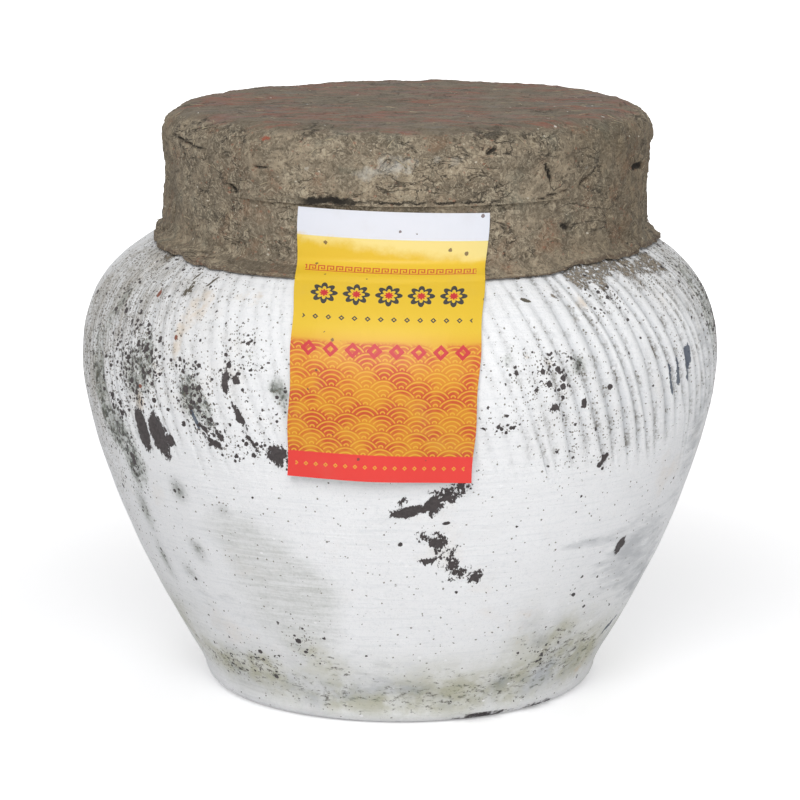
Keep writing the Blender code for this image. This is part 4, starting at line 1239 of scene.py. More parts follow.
# Dust, rust and painted shade on the cap, as the stains of the jar
MUD_STAINS = {
    "chalk": (
        (0, 341.8, 20, 9, 0.9), (-8, 336, 12, 5, 0.6), (-20.7, 338.7, 1.8, 1.6, 1),
        (45.9, 334.4, 2.4, 2, 1), (12, 344, 12, 5, 0.5), (140, 330, 20, 10, 0.7),
        (-130, 315, 14, 8, 0.6),
    ),
    "rust": (
        (-31.9, 353.8, 5, 2.2, 1), (52.6, 345, 4, 2, 0.7), (-27.5, 354.5, 3, 1.4, 0.7),
        (-50, 340, 10, 4, 0.35), (165, 342, 6, 3, 0.8),
    ),
    "shade_patches": (
        (66, 325, 70, 60, 0.9), (52, 348, 30, 8, 0.5), (-34, 345, 24, 10, 0.2),
        (-80, 310, 40, 30, 0.3), (150, 320, 70, 30, 0.5), (-140, 335, 50, 20, 0.4),
    ),
}


def scored(piece, look, count, draws):
    """Press the crevices and a number of chance dents into the wall of the cap."""
    places = places_of(piece)
    normals = np.empty(places.size)
    piece.data.vertices.foreach_get("normal", normals)
    radius, angle, height = round_axis(piece)
    azimuth = azimuth_of(angle)
    wall = radius > 0.9 * look.radius

    def press(centre, middle, reach, wide, lean, deep, bend=0):
        along = np.radians((azimuth - centre + 180) % 360 - 180) * look.radius
        up, turn = height - middle * MM, math.radians(lean)
        far = along * math.cos(turn) + up * math.sin(turn)
        across = up * math.cos(turn) - along * math.sin(turn) - bend * far ** 2
        return deep * MM * np.exp(-(across / (wide * MM)) ** 2 - (far / (reach * MM)) ** 4)

    depth = np.max([press(*row) for row in CREVICES], axis=0)
    crevice = depth.copy()
    for _ in range(count):
        dent = press(draws.uniform(-180, 180),
                     draws.uniform(MUD_LOW.z + look.flare, MUD_HIGH.z) / MM,
                     draws.uniform(4, 14), draws.uniform(1.2, 2.4), draws.normal(0, 28),
                     draws.uniform(0.8, 2.2), draws.uniform(-30, 30))
        depth = np.maximum(depth, dent)
    behind = np.array([slip_window(turn) for turn in angle])
    below = height < MUD_HIGH.z - look.slip_drop + 0.002
    kept = np.where(below, 1 - behind, 1) * wall
    move_to(piece, places - (depth * kept)[:, None] * normals.reshape(-1, 3))
    return np.clip(1.4 * crevice * kept / (CREVICE_DEPTH * MM), 0, 1)


class JAR_OT_shell(bpy.types.Operator):
    """Turn the jar, comb its ribs, and give it its limewash and its bare mouth."""
    bl_idname = "wine_jar.shell"
    bl_label = "Jar"

    def execute(self, context):
        look = context.scene.jar_look
        rows, outside = jar_section(look)
        steps = look.ribs * len(RIB_LINE_SHARES)
        shell, row, step = turned("jar_shell", rows, steps)
        cut, azimuth, height = comb(shell, look, row, step, outside)
        note(shell, "groove", cut)
        skin = (row < outside) & (row > 2)
        for name, table in STAINS.items():
            note(shell, name, stain_levels(table, azimuth, height, look.belly_radius) * skin)
        map_wall(shell, look.belly_radius)
        uneven = weigh(shell, "uneven", skin * ease(height, look.foot_edge, 0.02))
        displace(shell, clouds("brushed lumps", 0.022), 0.0010, 1.0, uneven)
        displace(shell, clouds("thrown wall", 0.09, 1), 0.0014, 1.0, uneven)
        shell.data.materials.append(limewash_finish(look))
        shell.data.materials.append(bare_ware_finish(look))
        self.bare(shell, row, outside)
        settle(shell, "jar", "limewashed_stoneware", ["jar_body"])
        return {"FINISHED"}

    def bare(self, shell, row, outside):
        """Leave the neck, the lip, the inside and the underside without limewash."""
        bare_row = row >= outside
        bare_row |= row < 2
        for face in shell.data.polygons:
            face.select = all(bare_row[corner] for corner in face.vertices)
        pick(shell)
        bpy.context.tool_settings.mesh_select_mode = (False, False, True)
        bpy.ops.object.mode_set(mode="EDIT")
        shell.active_material_index = 1
        bpy.ops.object.material_slot_assign()
        bpy.ops.object.mode_set(mode="OBJECT")
        shell.active_material_index = 0


def wrap_offsets(look):
    """How far each layer lies off the jar and the saucer: leaf, leaf, sheath, sheath, end."""
    inner = GAP
    outer = inner + look.leaf_thickness + GAP
    lower = outer + look.leaf_thickness + GAP
    upper = lower + look.sheath_thickness + GAP
    return inner, outer, lower, upper, upper + look.sheath_thickness


def saucer_crown(look, lift):
    """Rows over the saucer's upturned back, from the axis out to its rim, raised by lift."""
    radius, top = SAUCER_HIGH.x, SAUCER_HIGH.z
    rim = SAUCER_LOW.z + look.saucer_wall
    middle = ((look.saucer_base + radius) / 2, (top + rim) / 2 + look.saucer_bulge)
    rows = [(0, top), (look.saucer_base, top), middle, (radius, rim)]
    return [(across, height + lift) for across, height in rows]


def over_saucer(look, jar, offset):
    """Rows of a layer that lies over the saucer and turns down past the lip."""
    crown = saucer_crown(look, offset - GAP - look.leaf_thickness)
    corner = JAR_HIGH.z - jar.lip_round
    reach = (jar.lip_radius + offset - SAUCER_HIGH.x, crown[-1][1] - corner)
    return crown + arc((SAUCER_HIGH.x, corner), reach, 75, 0, 6)


def over_lip(jar, offset):
    """Rows of a layer that lies flat over the mouth and turns down past the lip."""
    centre = (jar.lip_radius - jar.lip_round, JAR_HIGH.z - jar.lip_round)
    reach = jar.lip_round + offset
    flat = [(0, JAR_HIGH.z + offset), (jar.mouth_radius, JAR_HIGH.z + offset)]
    return flat + arc(centre, (reach, reach), 90, 0, 6)


def wrap_section(look, jar, cover, offset, hem):
    """Section of one layer: over the mouth, down the neck and out over the shoulder."""
    def section(angle):
        bend = look.bend - offset
        centre = (jar.lip_radius + look.bend, jar.shoulder_height + look.bend)
        rows = cover + arc(centre, (-bend, -bend), 0, 90, 7)
        ruffle = look.ruffle * (1 + math.cos(12 * angle)) / 2
        for share in (0.33, 0.66, 1.0):
            radius = centre[0] + (hem(angle) - centre[0]) * share
            spread = (radius - centre[0]) / (look.sheath_length - centre[0])
            lift = offset + ruffle * spread ** 2
            rows.append((radius, float(shoulder_at(jar, radius)) + lift))
        return rows
    return section


def pleated(piece, look, jar):
    """Draw a layer in under the lip in the pleats that all the layers share."""
    radius, angle, height = round_axis(piece)
    fold = 0.5 + 0.28 * np.sin(23 * angle + 1.5 * np.sin(3 * angle))
    fold += 0.22 * np.sin(41 * angle + 2 + 2.0 * np.sin(2 * angle))
    neck_top = JAR_HIGH.z - jar.lip_height
    belt = ease(height, jar.shoulder_height + 0.001, jar.shoulder_height + 0.007)
    belt *= 1 - ease(height, neck_top - 0.002, neck_top + 0.004)
    radius -= PLEAT_DEPTH * fold * belt * (radius > jar.neck_radius)
    slope = ease(radius, look.saucer_base, SAUCER_HIGH.x)
    slope *= 1 - ease(radius, SAUCER_HIGH.x, jar.lip_radius)
    height = height + PLEAT_RISE * fold * slope * (height > JAR_HIGH.z)
    move_round(piece, radius, angle, height)


def leaf_finish(look, name, shift):
    """Dried lotus leaf: veins that fork from the middle, and mottled, wrinkled flesh."""
    draw = Finish(name, 0.62)
    place = draw.place()
    x, y, _ = draw.axes(place)
    far = draw.away(x, y)
    bend = (draw.noise(place, 26, 2) - 0.5) * 0.35
    turn = draw.sum("ARCTAN2", y, x) + bend + shift
    main = abs(draw.sum("SINE", turn * 10.0))
    fork = abs(draw.sum("SINE", turn * 20.0))
    main = draw.step(main * far, 0.0007, 0.0026, 0.0, 1.0)
    fork = draw.step(fork * far, 0.0004, 0.0022, 0.0, 1.0)
    fork = fork * draw.step(far, 0.040, 0.060)
    net = draw.add("ShaderNodeTexVoronoi", {"Vector": place, "Scale": 240.0},
                   feature="DISTANCE_TO_EDGE")
    net = draw.step(net, 0.02, 0.12, 0.0, 0.45)
    veins = draw.most(main, fork, net)
    mottle = draw.noise(place, 60, 5, 0.65)
    brown = draw.noise(draw.stretch(place, shift=(2, 2, 2)), 24, 4, 0.6)
    stain = draw.effect("Speckle", Place=place, Scale=130.0, Size=0.35, Amount=0.12)
    base = draw.coats(
        shade(look.leaf, 0.55),
        (draw.step(mottle, 0.35, 0.68), look.leaf),
        (draw.step(brown, 0.5, 0.68, 0.7), (0.13, 0.072, 0.032)),
        (veins * 0.7, look.leaf_vein),
        (stain * 0.7, (0.05, 0.032, 0.016)))
    wrinkle = draw.noise(draw.stretch(place, (1, 1, 2)), 160, 4, 0.6, 1.2)
    normal = draw.bumps((veins, 0.0010, 0.9), (wrinkle, 0.0020, 0.7))
    return draw.done(Base_Color=base, Normal=normal)


def husk_finish(look, name, turn):
    """Dry bamboo sheath: fine ribs along its length, dark mottling and a papery sheen."""
    draw = Finish(name, 0.48)
    place = draw.stretch(draw.place(), turn=(0, 0, turn))
    ribs = draw.noise(place, (4, 700, 4), 3, 0.6)
    broad = draw.noise(place, (7, 46, 7), 4, 0.6)
    blot = draw.noise(place, (38, 120, 38), 5, 0.68, 0.8)
    flecks = draw.effect("Speckle", Place=draw.stretch(place, (0.35, 1, 1)), Scale=260.0,
                         Size=0.35, Amount=0.10)
    base = draw.coats(
        shade(look.husk, 0.72),
        (draw.step(ribs, 0.3, 0.7), look.husk),
        (draw.step(broad, 0.42, 0.66, 0.55), (0.30, 0.185, 0.085)),
        (draw.step(blot, 0.55, 0.64, 0.85), look.husk_dark),
        (flecks * 0.7, look.husk_dark))
    wrinkle = draw.noise(place, (40, 110, 40), 4, 0.6, 0.8)
    normal = draw.bumps((ribs, 0.0006, 0.9), (wrinkle, 0.0016, 0.6))
    return draw.done(Base_Color=base, Normal=normal, Sheen_Weight=0.15)


class JAR_OT_wraps(bpy.types.Operator):
    """Lay the two leaves and the two crossed bamboo sheaths over the mouth."""
    bl_idname = "wine_jar.wraps"
    bl_label = "Leaves and sheaths"

    def execute(self, context):
        look, jar = context.scene.wrap_look, context.scene.jar_look
        inner, outer, lower, upper, _ = wrap_offsets(look)
        leaf, sheath = look.leaf_thickness, look.sheath_thickness

        def leaf_hem(start):
            return lambda angle: (look.leaf_reach - look.leaf_notch
                                  * (1 + math.cos(7 * angle + start)) / 2)

        def sheath_hem(direction):
            return lambda angle: (look.sheath_width + (look.sheath_length - look.sheath_width)
                                  * math.cos(angle - direction) ** 2)

        layers = (("mouth_leaf", "inner_leaf", "lid", "lotus_leaf", over_lip(jar, inner), inner,
                   leaf, leaf_hem(0), leaf_finish(look, "mouth_leaf", 0.3)),
                  ("saucer_leaf", "outer_leaf", "wrap", "lotus_leaf",
                   over_saucer(look, jar, outer), outer, leaf, leaf_hem(math.pi / 2),
                   leaf_finish(look, "saucer_leaf", 1.7)),
                  ("under_husk", "sheath_lower", "wrap", "bamboo_sheath",
                   over_saucer(look, jar, lower), lower, sheath, sheath_hem(0),
                   husk_finish(look, "under_husk", 0.0)),
                  ("upper_husk", "sheath_upper", "wrap", "bamboo_sheath",
                   over_saucer(look, jar, upper), upper, sheath, sheath_hem(math.pi / 2),
                   husk_finish(look, "upper_husk", math.pi / 2)))
        for name, node, body, slot, cover, offset, thickness, hem, finish in layers:
            section = wrap_section(look, jar, cover, offset, hem)
            counts = refined(section(0), WRAP_SPACING)
            sheet, row, step = turned(name, subdivided(section(0), counts), WRAP_STEPS)
            shaped(sheet, lambda angle: subdivided(section(angle), counts), row, step, WRAP_STEPS)
            pleated(sheet, look, jar)
            modify(sheet, "SOLIDIFY", thickness=0.8 * thickness, offset=1)
            sheet.data.materials.append(finish)
            settle(sheet, body, slot, [node])
        return {"FINISHED"}


def clay_finish(look):
    """Coarse red-brown fired clay with turning rings and a smoked patch."""
    draw = Finish("saucer_clay", 0.82)
    place = draw.place()
    x, y, _ = draw.axes(place)
    far = draw.away(x, y)
    wobble = draw.noise(place, 20, 2) * 0.004
    rings = draw.noise(draw.add("ShaderNodeCombineXYZ", {0: far + wobble}), 520, 3, 0.6)
    smoke = draw.noise(place, 22, 4, 0.6)
    grain = draw.noise(place, 700, 4, 0.65)
    grit = draw.effect("Speckle", Place=place, Scale=380.0, Size=0.4, Amount=0.12)
    base = draw.coats(
        shade(look.clay, 0.75),
        (draw.step(rings, 0.3, 0.7), look.clay),
        (draw.step(smoke, 0.52, 0.72, 0.75), (0.075, 0.05, 0.038)),
        (grit * 0.7, (0.46, 0.36, 0.26)))
    normal = draw.bumps((grain, 0.0005, 0.7), (rings, 0.0009, 0.7))
    return draw.done(Base_Color=base, Normal=normal)


class JAR_OT_saucer(bpy.types.Operator):
    """Turn the clay saucer that lies upside down over the mouth."""
    bl_idname = "wine_jar.saucer"
    bl_label = "Saucer"

    def execute(self, context):
        look = context.scene.wrap_look
        wall = look.saucer_wall
        crown = saucer_crown(look, 0)
        hollow = [(max(0, radius - wall / 2), height)
                  for radius, height in saucer_crown(look, -wall)]
        rim = [(SAUCER_HIGH.x, SAUCER_LOW.z + wall / 3), (SAUCER_HIGH.x - wall / 3, SAUCER_LOW.z),
               (SAUCER_HIGH.x - 2 * wall / 3, SAUCER_LOW.z),
               (SAUCER_HIGH.x - wall, SAUCER_LOW.z + wall / 3)]
        rows = crown + rim + hollow[-2::-1]
        rows = subdivided(rows, refined(rows, SAUCER_SPACING))
        dish, _, _ = turned("saucer_dish", rows, SAUCER_STEPS)
        for _ in range(2):
            modify(dish, "SMOOTH", factor=0.5)
        dish.data.materials.append(clay_finish(look))
        settle(dish, "lid", "saucer_clay", ["saucer_lid"])
        return {"FINISHED"}


def bamboo_finish(look):
    """Split bamboo: straight grain along the strip, brown edges and a satin skin."""
    draw = Finish("bamboo_strip", 0.42)
    place = draw.place()
    grain = draw.noise(place, (12, 12, 2600), 3, 0.6)
    broad = draw.noise(place, 34, 3, 0.6)
    base = draw.coats(
        shade(look.bamboo, 0.6),
        (draw.step(grain, 0.3, 0.7), look.bamboo),
        (draw.step(broad, 0.45, 0.7, 0.5), (0.30, 0.17, 0.07)))
    return draw.done(Base_Color=base, Normal=draw.bumps((grain, 0.0003, 0.8)))


class JAR_OT_tie(bpy.types.Operator):
    """Wind the bamboo strip round the neck and close its ends."""
    bl_idname = "wine_jar.tie"
    bl_label = "Bamboo tie"

    def execute(self, context):
        look = context.scene.wrap_look
        width, thick = look.strip, TIE_THICKNESS
        radius = TIE_HIGH.y - width / 2
        low = TIE_LOW.z + width / 2
        deselect()
        bpy.ops.mesh.primitive_plane_add(size=1, rotation=(math.pi / 2, 0, 0),
                                         location=(radius, 0, low), enter_editmode=True)
        strip = name_piece("neck_tie")
        bpy.ops.transform.resize(value=(thick, 1, width * 0.92))
        bpy.ops.mesh.bevel(offset=thick / 3, segments=2, affect="VERTICES")
        bpy.ops.object.mode_set(mode="OBJECT")
        bpy.ops.object.transform_apply(location=True, rotation=True, scale=True)
        modify(strip, "SCREW", steps=TIE_STEPS, render_steps=TIE_STEPS, iterations=TIE_TURNS,
               angle=TURN, screw_offset=look.pitch, use_merge_vertices=False)
        bpy.context.tool_settings.mesh_select_mode = (True, False, False)
        bpy.ops.object.mode_set(mode="EDIT")
        bpy.ops.mesh.select_all(action="SELECT")
        bpy.ops.mesh.remove_doubles(threshold=MERGE)
        bpy.ops.mesh.select_all(action="DESELECT")
        bpy.ops.mesh.select_non_manifold()
        bpy.ops.mesh.fill()
        bpy.ops.mesh.select_all(action="SELECT")
        bpy.ops.mesh.normals_make_consistent(inside=False)
        bpy.ops.object.mode_set(mode="OBJECT")
        strip.data.materials.append(bamboo_finish(look))
        settle(strip, "tie", "bamboo_strip", ["bamboo_tie"])
        return {"FINISHED"}


class JAR_OT_mud(bpy.types.Operator):
    """Build up the mud cap over the mouth, with its lumps, cracks and straw."""
    bl_idname = "wine_jar.mud"
    bl_label = "Mud cap"

    def execute(self, context):
        look, jar, wrap = (context.scene.mud_look, context.scene.jar_look, context.scene.wrap_look)
        draws = np.random.default_rng(SEED)
        first = mud_section(look, jar, wrap, 0)
        outer = len(mud_outside(look, jar, 0))
        counts = refined(first, MUD_SPACING)
        counts[:2] = MUD_TOP_STEPS
        counts[outer:] = refined(first, MUD_BED_SPACING)[outer:]
        steps = MUD_STEPS
        cap, row, step = turned("mud_cap", subdivided(first, counts), steps)

        def section(angle):
            return subdivided(mud_section(look, jar, wrap, angle), counts)
        shaped(cap, section, row, step, steps)
        height = places_of(cap)[:, 2]
        outside_rows = int(counts[:outer - 1].sum())
        window = np.array([slip_window(TURN * turn / steps) for turn in range(steps)])[step]
        covered = window * (height < MUD_HIGH.z - look.slip_drop + 0.001)
        free = (row < outside_rows) * (1 - covered)
        note(cap, "hidden", (row > outside_rows).astype(float))
        foot = outside_rows - row
        crown = ease(height, MUD_HIGH.z - 0.008, MUD_HIGH.z - 0.001)
        lumpy = weigh(cap, "lumpy", free * ease(foot, 0, 4) * (1 - crown))
        flat = weigh(cap, "flat", free * crown)
        pasted = weigh(cap, "pasted", covered * (row < outside_rows))
        displace(cap, clouds("lumps", 0.030, 2), 0.0036, 0.62, lumpy)
        displace(cap, clouds("clods", 0.0090, 2), 0.0026, 0.60, lumpy)
        displace(cap, clouds("crumbs", 0.0040, 1, True), 0.0012, 0.40, lumpy)
        displace(cap, clouds("trodden", 0.040, 2), 0.0030, 1.0, flat)
        displace(cap, clouds("scuffs", 0.008, 2, True), 0.0012, 1.0, flat)
        displace(cap, clouds("pasted", 0.012, 1), 0.0008, 1.0, pasted)
        note(cap, "crevice", scored(cap, look, DENTS, draws))
        radius, angle, final = round_axis(cap)
        for name, table in MUD_STAINS.items():
            level = stain_levels(table, azimuth_of(angle), final, look.radius)
            note(cap, name, level * (radius > 0.7 * look.radius))
        # The rows at the foot's edge, which the finish darkens as painted shade.
        note(cap, "foot_shade", np.abs(foot) < 3)
        note(cap, "slit_shadow", window)
        cap.data.materials.append(mud_finish(look))
        settle(cap, "seal", "dried_mud", ["mud_seal"])
        self.strew(cap, look, step * (row.max() + 1) + row)
        return {"FINISHED"}

    def strew(self, cap, look, number):
        """Lay bits of chopped straw in the skin of the mud, whose points have these numbers."""
        random.seed(SEED)
        deselect()
        bpy.ops.mesh.primitive_cylinder_add(vertices=4, radius=0.5, depth=1,
                                            rotation=(0, math.pi / 2, 0), enter_editmode=True)
        straw = name_piece("mud_chaff")
        for place in (-0.2, 0.2):
            bpy.ops.mesh.select_all(action="SELECT")
            bpy.ops.mesh.bisect(plane_co=(place, 0, 0), plane_no=(1, 0, 0))
        bpy.ops.object.mode_set(mode="OBJECT")
        bpy.ops.object.transform_apply(location=False, rotation=True, scale=True)
        bowed = places_of(straw)
        bowed[:, 1] += 1.6 * bowed[:, 0] ** 2
        move_to(straw, bowed)
        top = MUD_HIGH.z - 0.0015
        faces = [face for face in cap.data.polygons
                 if face.center.z > MUD_LOW.z + 0.004 and face.normal.z > -0.3
                 and math.hypot(*face.center.xy) > 0.02 and not (
                     face.center.y < -0.12 and abs(face.center.x) < 0.075
                     and face.center.z < MUD_HIGH.z - look.slip_drop + 0.004)]
        # A spun piece's faces come in another order each time, so they are put in one order here.
        faces.sort(key=lambda face: sorted(number[corner] for corner in face.vertices))
        weights = [face.area * (0.35 if face.center.z > top - 0.003 else 1) for face in faces]
        bits = []
        for face in random.choices(faces, weights, k=look.chaff):
            size = random.uniform(0.0025, 0.0085)
            wide = random.uniform(0.00025, 0.0006)
            out = face.normal
            along = out.cross(Vector((0, 0, 1)))
            if along.length < 0.3:
                along = Vector((1, 0, 0)) - out * out.x
            along.normalize()
            along = Matrix.Rotation(random.gauss(0, 0.8), 3, out) @ along
            across = out.cross(along)
            sunk = face.center - out * wide * random.uniform(-0.2, 0.45)
            sunk.z = min(sunk.z, MUD_HIGH.z - wide)
            turn = Matrix((along * size, across * wide, out * wide)).transposed().to_4x4()
            bit = straw.copy()
            bit.data = straw.data.copy()
            bit.data.transform(Matrix.Translation(sunk) @ turn)
            bpy.context.scene.collection.objects.link(bit)
            bits.append(bit)
        pick(straw)
        bpy.ops.object.mode_set(mode="EDIT")
        bpy.ops.mesh.select_all(action="SELECT")
        bpy.ops.mesh.delete(type="VERT")
        bpy.ops.object.mode_set(mode="OBJECT")
        for bit in bits:
            bit.select_set(True)
        bpy.ops.object.join()
        places = places_of(straw)
        places[:, 2] = np.minimum(places[:, 2], MUD_HIGH.z)
        move_to(straw, places)
        straw.data.materials.append(straw_finish(look))
        settle(straw, "seal", "dried_mud")


def slip_backing(jar, mud, drops):
    """A function of the angle: radii behind the slip at drops below its upper edge."""
    top = MUD_HIGH.z - mud.slip_drop
    wall = jar_radius(jar, top - drops)

    def backing(angle):
        rows = [spot for spot in mud_outside(mud, jar, angle) if spot[1] <= top + 2 * GAP][:6]
        radii, heights = np.array(rows).T
        cap = np.interp(top - drops, heights, radii, left=0)
        return np.maximum.accumulate(np.maximum(cap, wall))
    return backing


def slip_places(look, jar, mud, flat):
    """Where points of the flat paper lie: rows of aside and down become x, y and z."""
    drops = np.linspace(0, look.paper_length, 240)
    backing = slip_backing(jar, mud, drops)
    front = backing(FRONT)
    out, drop = np.gradient(front), np.gradient(drops)
    span = np.hypot(out, drop)
    down_at = np.cumsum(span) - span[0]
    angles = np.linspace(FRONT - 0.5, FRONT + 0.5, 81)
    radii = np.array([backing(angle) for angle in angles])
    aside, down = flat.T
    x = look.centre_x + aside - down * math.sin(look.lean)
    down = down + (look.top_width / 2 + aside) * math.sin(look.tilt)
    fall = np.interp(down, down_at, drops)
    outward = np.interp(down, down_at, drop / span)
    upward = np.interp(down, down_at, out / span)
    angle = np.full(len(x), FRONT)
    level = np.interp(fall, drops, np.arange(len(drops)))
    for _ in range(3):
        turn = np.interp(angle, angles, np.arange(len(angles)))
        low_turn, low_level = np.floor(turn).astype(int), np.floor(level).astype(int)
        high_turn = np.minimum(low_turn + 1, len(angles) - 1)
        high_level = np.minimum(low_level + 1, len(drops) - 1)
        share, rise = turn - low_turn, level - low_level
        near = radii[low_turn, low_level] * (1 - rise) + radii[low_turn, high_level] * rise
        later = radii[high_turn, low_level] * (1 - rise) + radii[high_turn, high_level] * rise
        radius = near * (1 - share) + later * share
        angle = FRONT + np.arcsin(x / radius)
    return radius, angle, MUD_HIGH.z - mud.slip_drop - fall, outward, upward


def wave_field(draw, x, y, cell):
    """Overlapping fans of concentric arcs, as a value that steps with each arc."""
    row = draw.sum("FLOOR", y / (cell / 2))
    value = found = 0.0
    for step in (2.0, 1.0, 0.0, -1.0):
        line = row + step
        along = x - draw.sum("FRACT", line * 0.5) * (2 * cell)
        aside = along - draw.sum("ROUND", along / (2 * cell)) * (2 * cell)
        far = draw.away(aside, y - line * (cell / 2))
        inside = far < cell
        value = inside * (1.0 - found) * far / cell + value
        found = draw.most(inside, found)
    return value


def print_finish(look):
    """Printed paper: bands of colour, a fret, rosettes, lozenges and a wave field."""
    draw = Finish("printed_paper", 0.5)
    place, paper = draw.place(), draw.mapped("paper")
    x, y, _ = draw.axes(paper)
    grain = draw.noise(place, 900, 3, 0.6)
    length_down = look.paper_length
    wave_top, band_top = 0.088, length_down - 0.0145

    # Painted reflection: a pale yellow band of glare below the white top, with a wobbled, slanting
    # lower edge, before the yellow field.
    glare_wobble = draw.noise(paper, 90, 4, 0.65)
    slanted = x * -0.10 + glare_wobble * 0.012 + y
    glare = draw.step(slanted, 0.0255, 0.0340)
    tint = draw.noise(draw.stretch(paper, (1, 1.6, 1)), 46, 3, 0.6)
    field = draw.step(y, wave_top - 0.002, wave_top + 0.002)
    arcs = wave_field(draw, x, y, 0.0098)
    lines = abs(draw.sum("FRACT", arcs * 4.0) - 0.5)
    lines = draw.step(lines, 0.10, 0.22, 0.0, 1.0)
    deep = draw.mix(draw.step(tint, 0.35, 0.60), look.orange, look.rust)
    base = draw.coats(
        look.paper,
        (draw.step(y, 0.0168, 0.0172), look.pale),
        (glare, look.yellow),
        (draw.step(y, wave_top - 0.010, wave_top + 0.012), look.orange),
        (field * draw.step(tint, 0.3, 0.6), deep),
        (field * lines * 0.85, look.gold))

    base = draw.mix(fret_mask(draw, x, y, 0.0052, 0.0353) * 0.85, base, look.crimson)
    base = rosettes(draw, look, base, x, y)
    small = lozenges(draw, x, y, (band_top + length_down) / 2, 0.0056, 0.0013)
    dirt = draw.effect("Speckle", Place=place, Scale=210.0, Size=0.28, Amount=0.075)
    soil = draw.noise(draw.stretch(place, shift=(1, 1, 1)), 30, 4, 0.6)
    plain = draw.mix(draw.step(soil, 0.40, 0.60), look.backing, shade(look.backing, 0.72))
    base = draw.coats(
        base,
        (lozenges(draw, x, y, 0.0735, 0.0074, 0.0017), look.ink),
        (lozenges(draw, x, y, 0.0925, 0.0124, 0.0046), look.crimson),
        (draw.step(y, band_top, band_top + 0.0004), look.red),
        (small * 0.8, look.gold),
        (dirt * 0.8, (0.10, 0.045, 0.03)),
        (draw.noted("back"), plain),
        (draw.step(soil, 0.5, 0.85, 0.16), (0.40, 0.33, 0.24)))
    crease = draw.noise(draw.stretch(paper, (1, 0.35, 1)), 60, 3, 0.55, 0.6)
    normal = draw.bumps((grain, 0.0001, 0.4), (crease, 0.0012, 0.35))
    return draw.done(Base_Color=base, Normal=normal, Coat_Weight=0.08, Coat_Roughness=0.25)


def box_mask(x, y, left, right, low, high):
    """1 within a rectangle and 0 outside it."""
    return (x > left) * (x < right) * (y > low) * (y < high)


def fret_mask(draw, x, y, cell, top):
    """A running key fret of square hooks between two lines, cell wide and high."""
    across = draw.sum("FRACT", x / cell)
    down = (y - top) / cell
    hooks = ((0.0, 0.14, 0.0, 1.0), (0.0, 0.80, 0.0, 0.16), (0.66, 0.80, 0.0, 0.72),
             (0.34, 0.80, 0.56, 0.72), (0.34, 0.48, 0.32, 0.72), (0.0, 1.0, 0.86, 1.0))
    mask = draw.most(*(box_mask(across, down, left - 0.001, right, low, high)
                       for left, right, low, high in hooks))
    return mask * (abs(x) < FRET_REACH)


def lozenges(draw, x, y, middle, pitch, size):
    """A row of small lozenges at a height, pitch apart."""
    away = abs(draw.sum("FRACT", x / pitch) - 0.5) * pitch + abs(y - middle)
    return (away < size) * (away > 0.4 * size) * (abs(x) < LOZENGE_REACH)


def rosettes(draw, look, base, x, y, middle=0.0570, pitch=0.0184, radius=0.0078):
    """A row of five flowers of eight petals, in ink on the yellow."""
    aside = x / pitch
    aside = (aside - draw.sum("ROUND", aside)) * pitch
    off = y - middle
    far = draw.away(aside, off) / radius
    lobes = abs(draw.sum("COSINE", draw.sum("ARCTAN2", off, aside) * 4.0))
    kept = abs(x) < 2.5 * pitch
    return draw.coats(base, *(((far < lobes * swell + reach) * kept, tone)
                              for reach, swell, tone in ((0.62, 0.38, look.ink),
                                                         (0.36, 0.26, look.yellow),
                                                         (0.20, 0.14, look.crimson))))


class JAR_OT_slip(bpy.types.Operator):
    """Cut the printed paper slip, and lay it over the mud and the shoulder."""
    bl_idname = "wine_jar.slip"
    bl_label = "Paper slip"

    def execute(self, context):
        look, jar, mud = (context.scene.slip_look, context.scene.jar_look, context.scene.mud_look)
        deselect()
        bpy.ops.mesh.primitive_grid_add(x_subdivisions=SLIP_COLUMNS, y_subdivisions=SLIP_ROWS,
                                        size=1)
        slip = name_piece("paper_slip")
        unit = places_of(slip)
        share = 0.5 - unit[:, 1]
        width = look.top_width + (look.bottom_width - look.top_width) * share
        flat = np.stack((unit[:, 0] * width, look.margin + look.paper_length * share), 1)
        flat[:, 0] += 0.0004 * np.sin(150 * flat[:, 1]) * (2 * unit[:, 0])
        self.map_paper(slip, flat)
        radius, angle, height, outward, upward = slip_places(look, jar, mud, flat)
        slack = 0.5 + 0.28 * np.sin(95 * flat[:, 0] + 30 * flat[:, 1])
        slack += 0.22 * np.sin(52 * flat[:, 1] - 60 * flat[:, 0] + 1)
        hanging = ease(flat[:, 1], 0.10, look.paper_length)
        offset = look.stand_off - GAP * slack - SLIP_SAG * slack * hanging ** 2
        move_round(slip, radius + offset * outward, angle, height + offset * upward)
        pick(slip)
        bpy.ops.object.mode_set(mode="EDIT")
        bpy.ops.mesh.select_all(action="SELECT")
        bpy.ops.mesh.normals_make_consistent(inside=False)
        bpy.ops.object.mode_set(mode="OBJECT")
        if sum(face.normal.y for face in slip.data.polygons) > 0:
            slip.data.flip_normals()
        modify(slip, "SOLIDIFY", thickness=look.thickness, offset=-1)
        note(slip, "back", np.arange(len(slip.data.vertices)) >= len(flat))
        slip.data.materials.append(print_finish(look))
        settle(slip, "seal", "printed_paper", ["paper_label"])
        return {"FINISHED"}

    def map_paper(self, slip, flat):
        """A UV map in metres on the flat paper: aside of its middle line, and down."""
        for layer in list(slip.data.uv_layers):
            slip.data.uv_layers.remove(layer)
        corners = np.empty(len(slip.data.loops), int)
        slip.data.loops.foreach_get("vertex_index", corners)
        layer = slip.data.uv_layers.new(name="paper")
        layer.uv.foreach_set("vector", flat[corners].astype(np.float32).ravel())


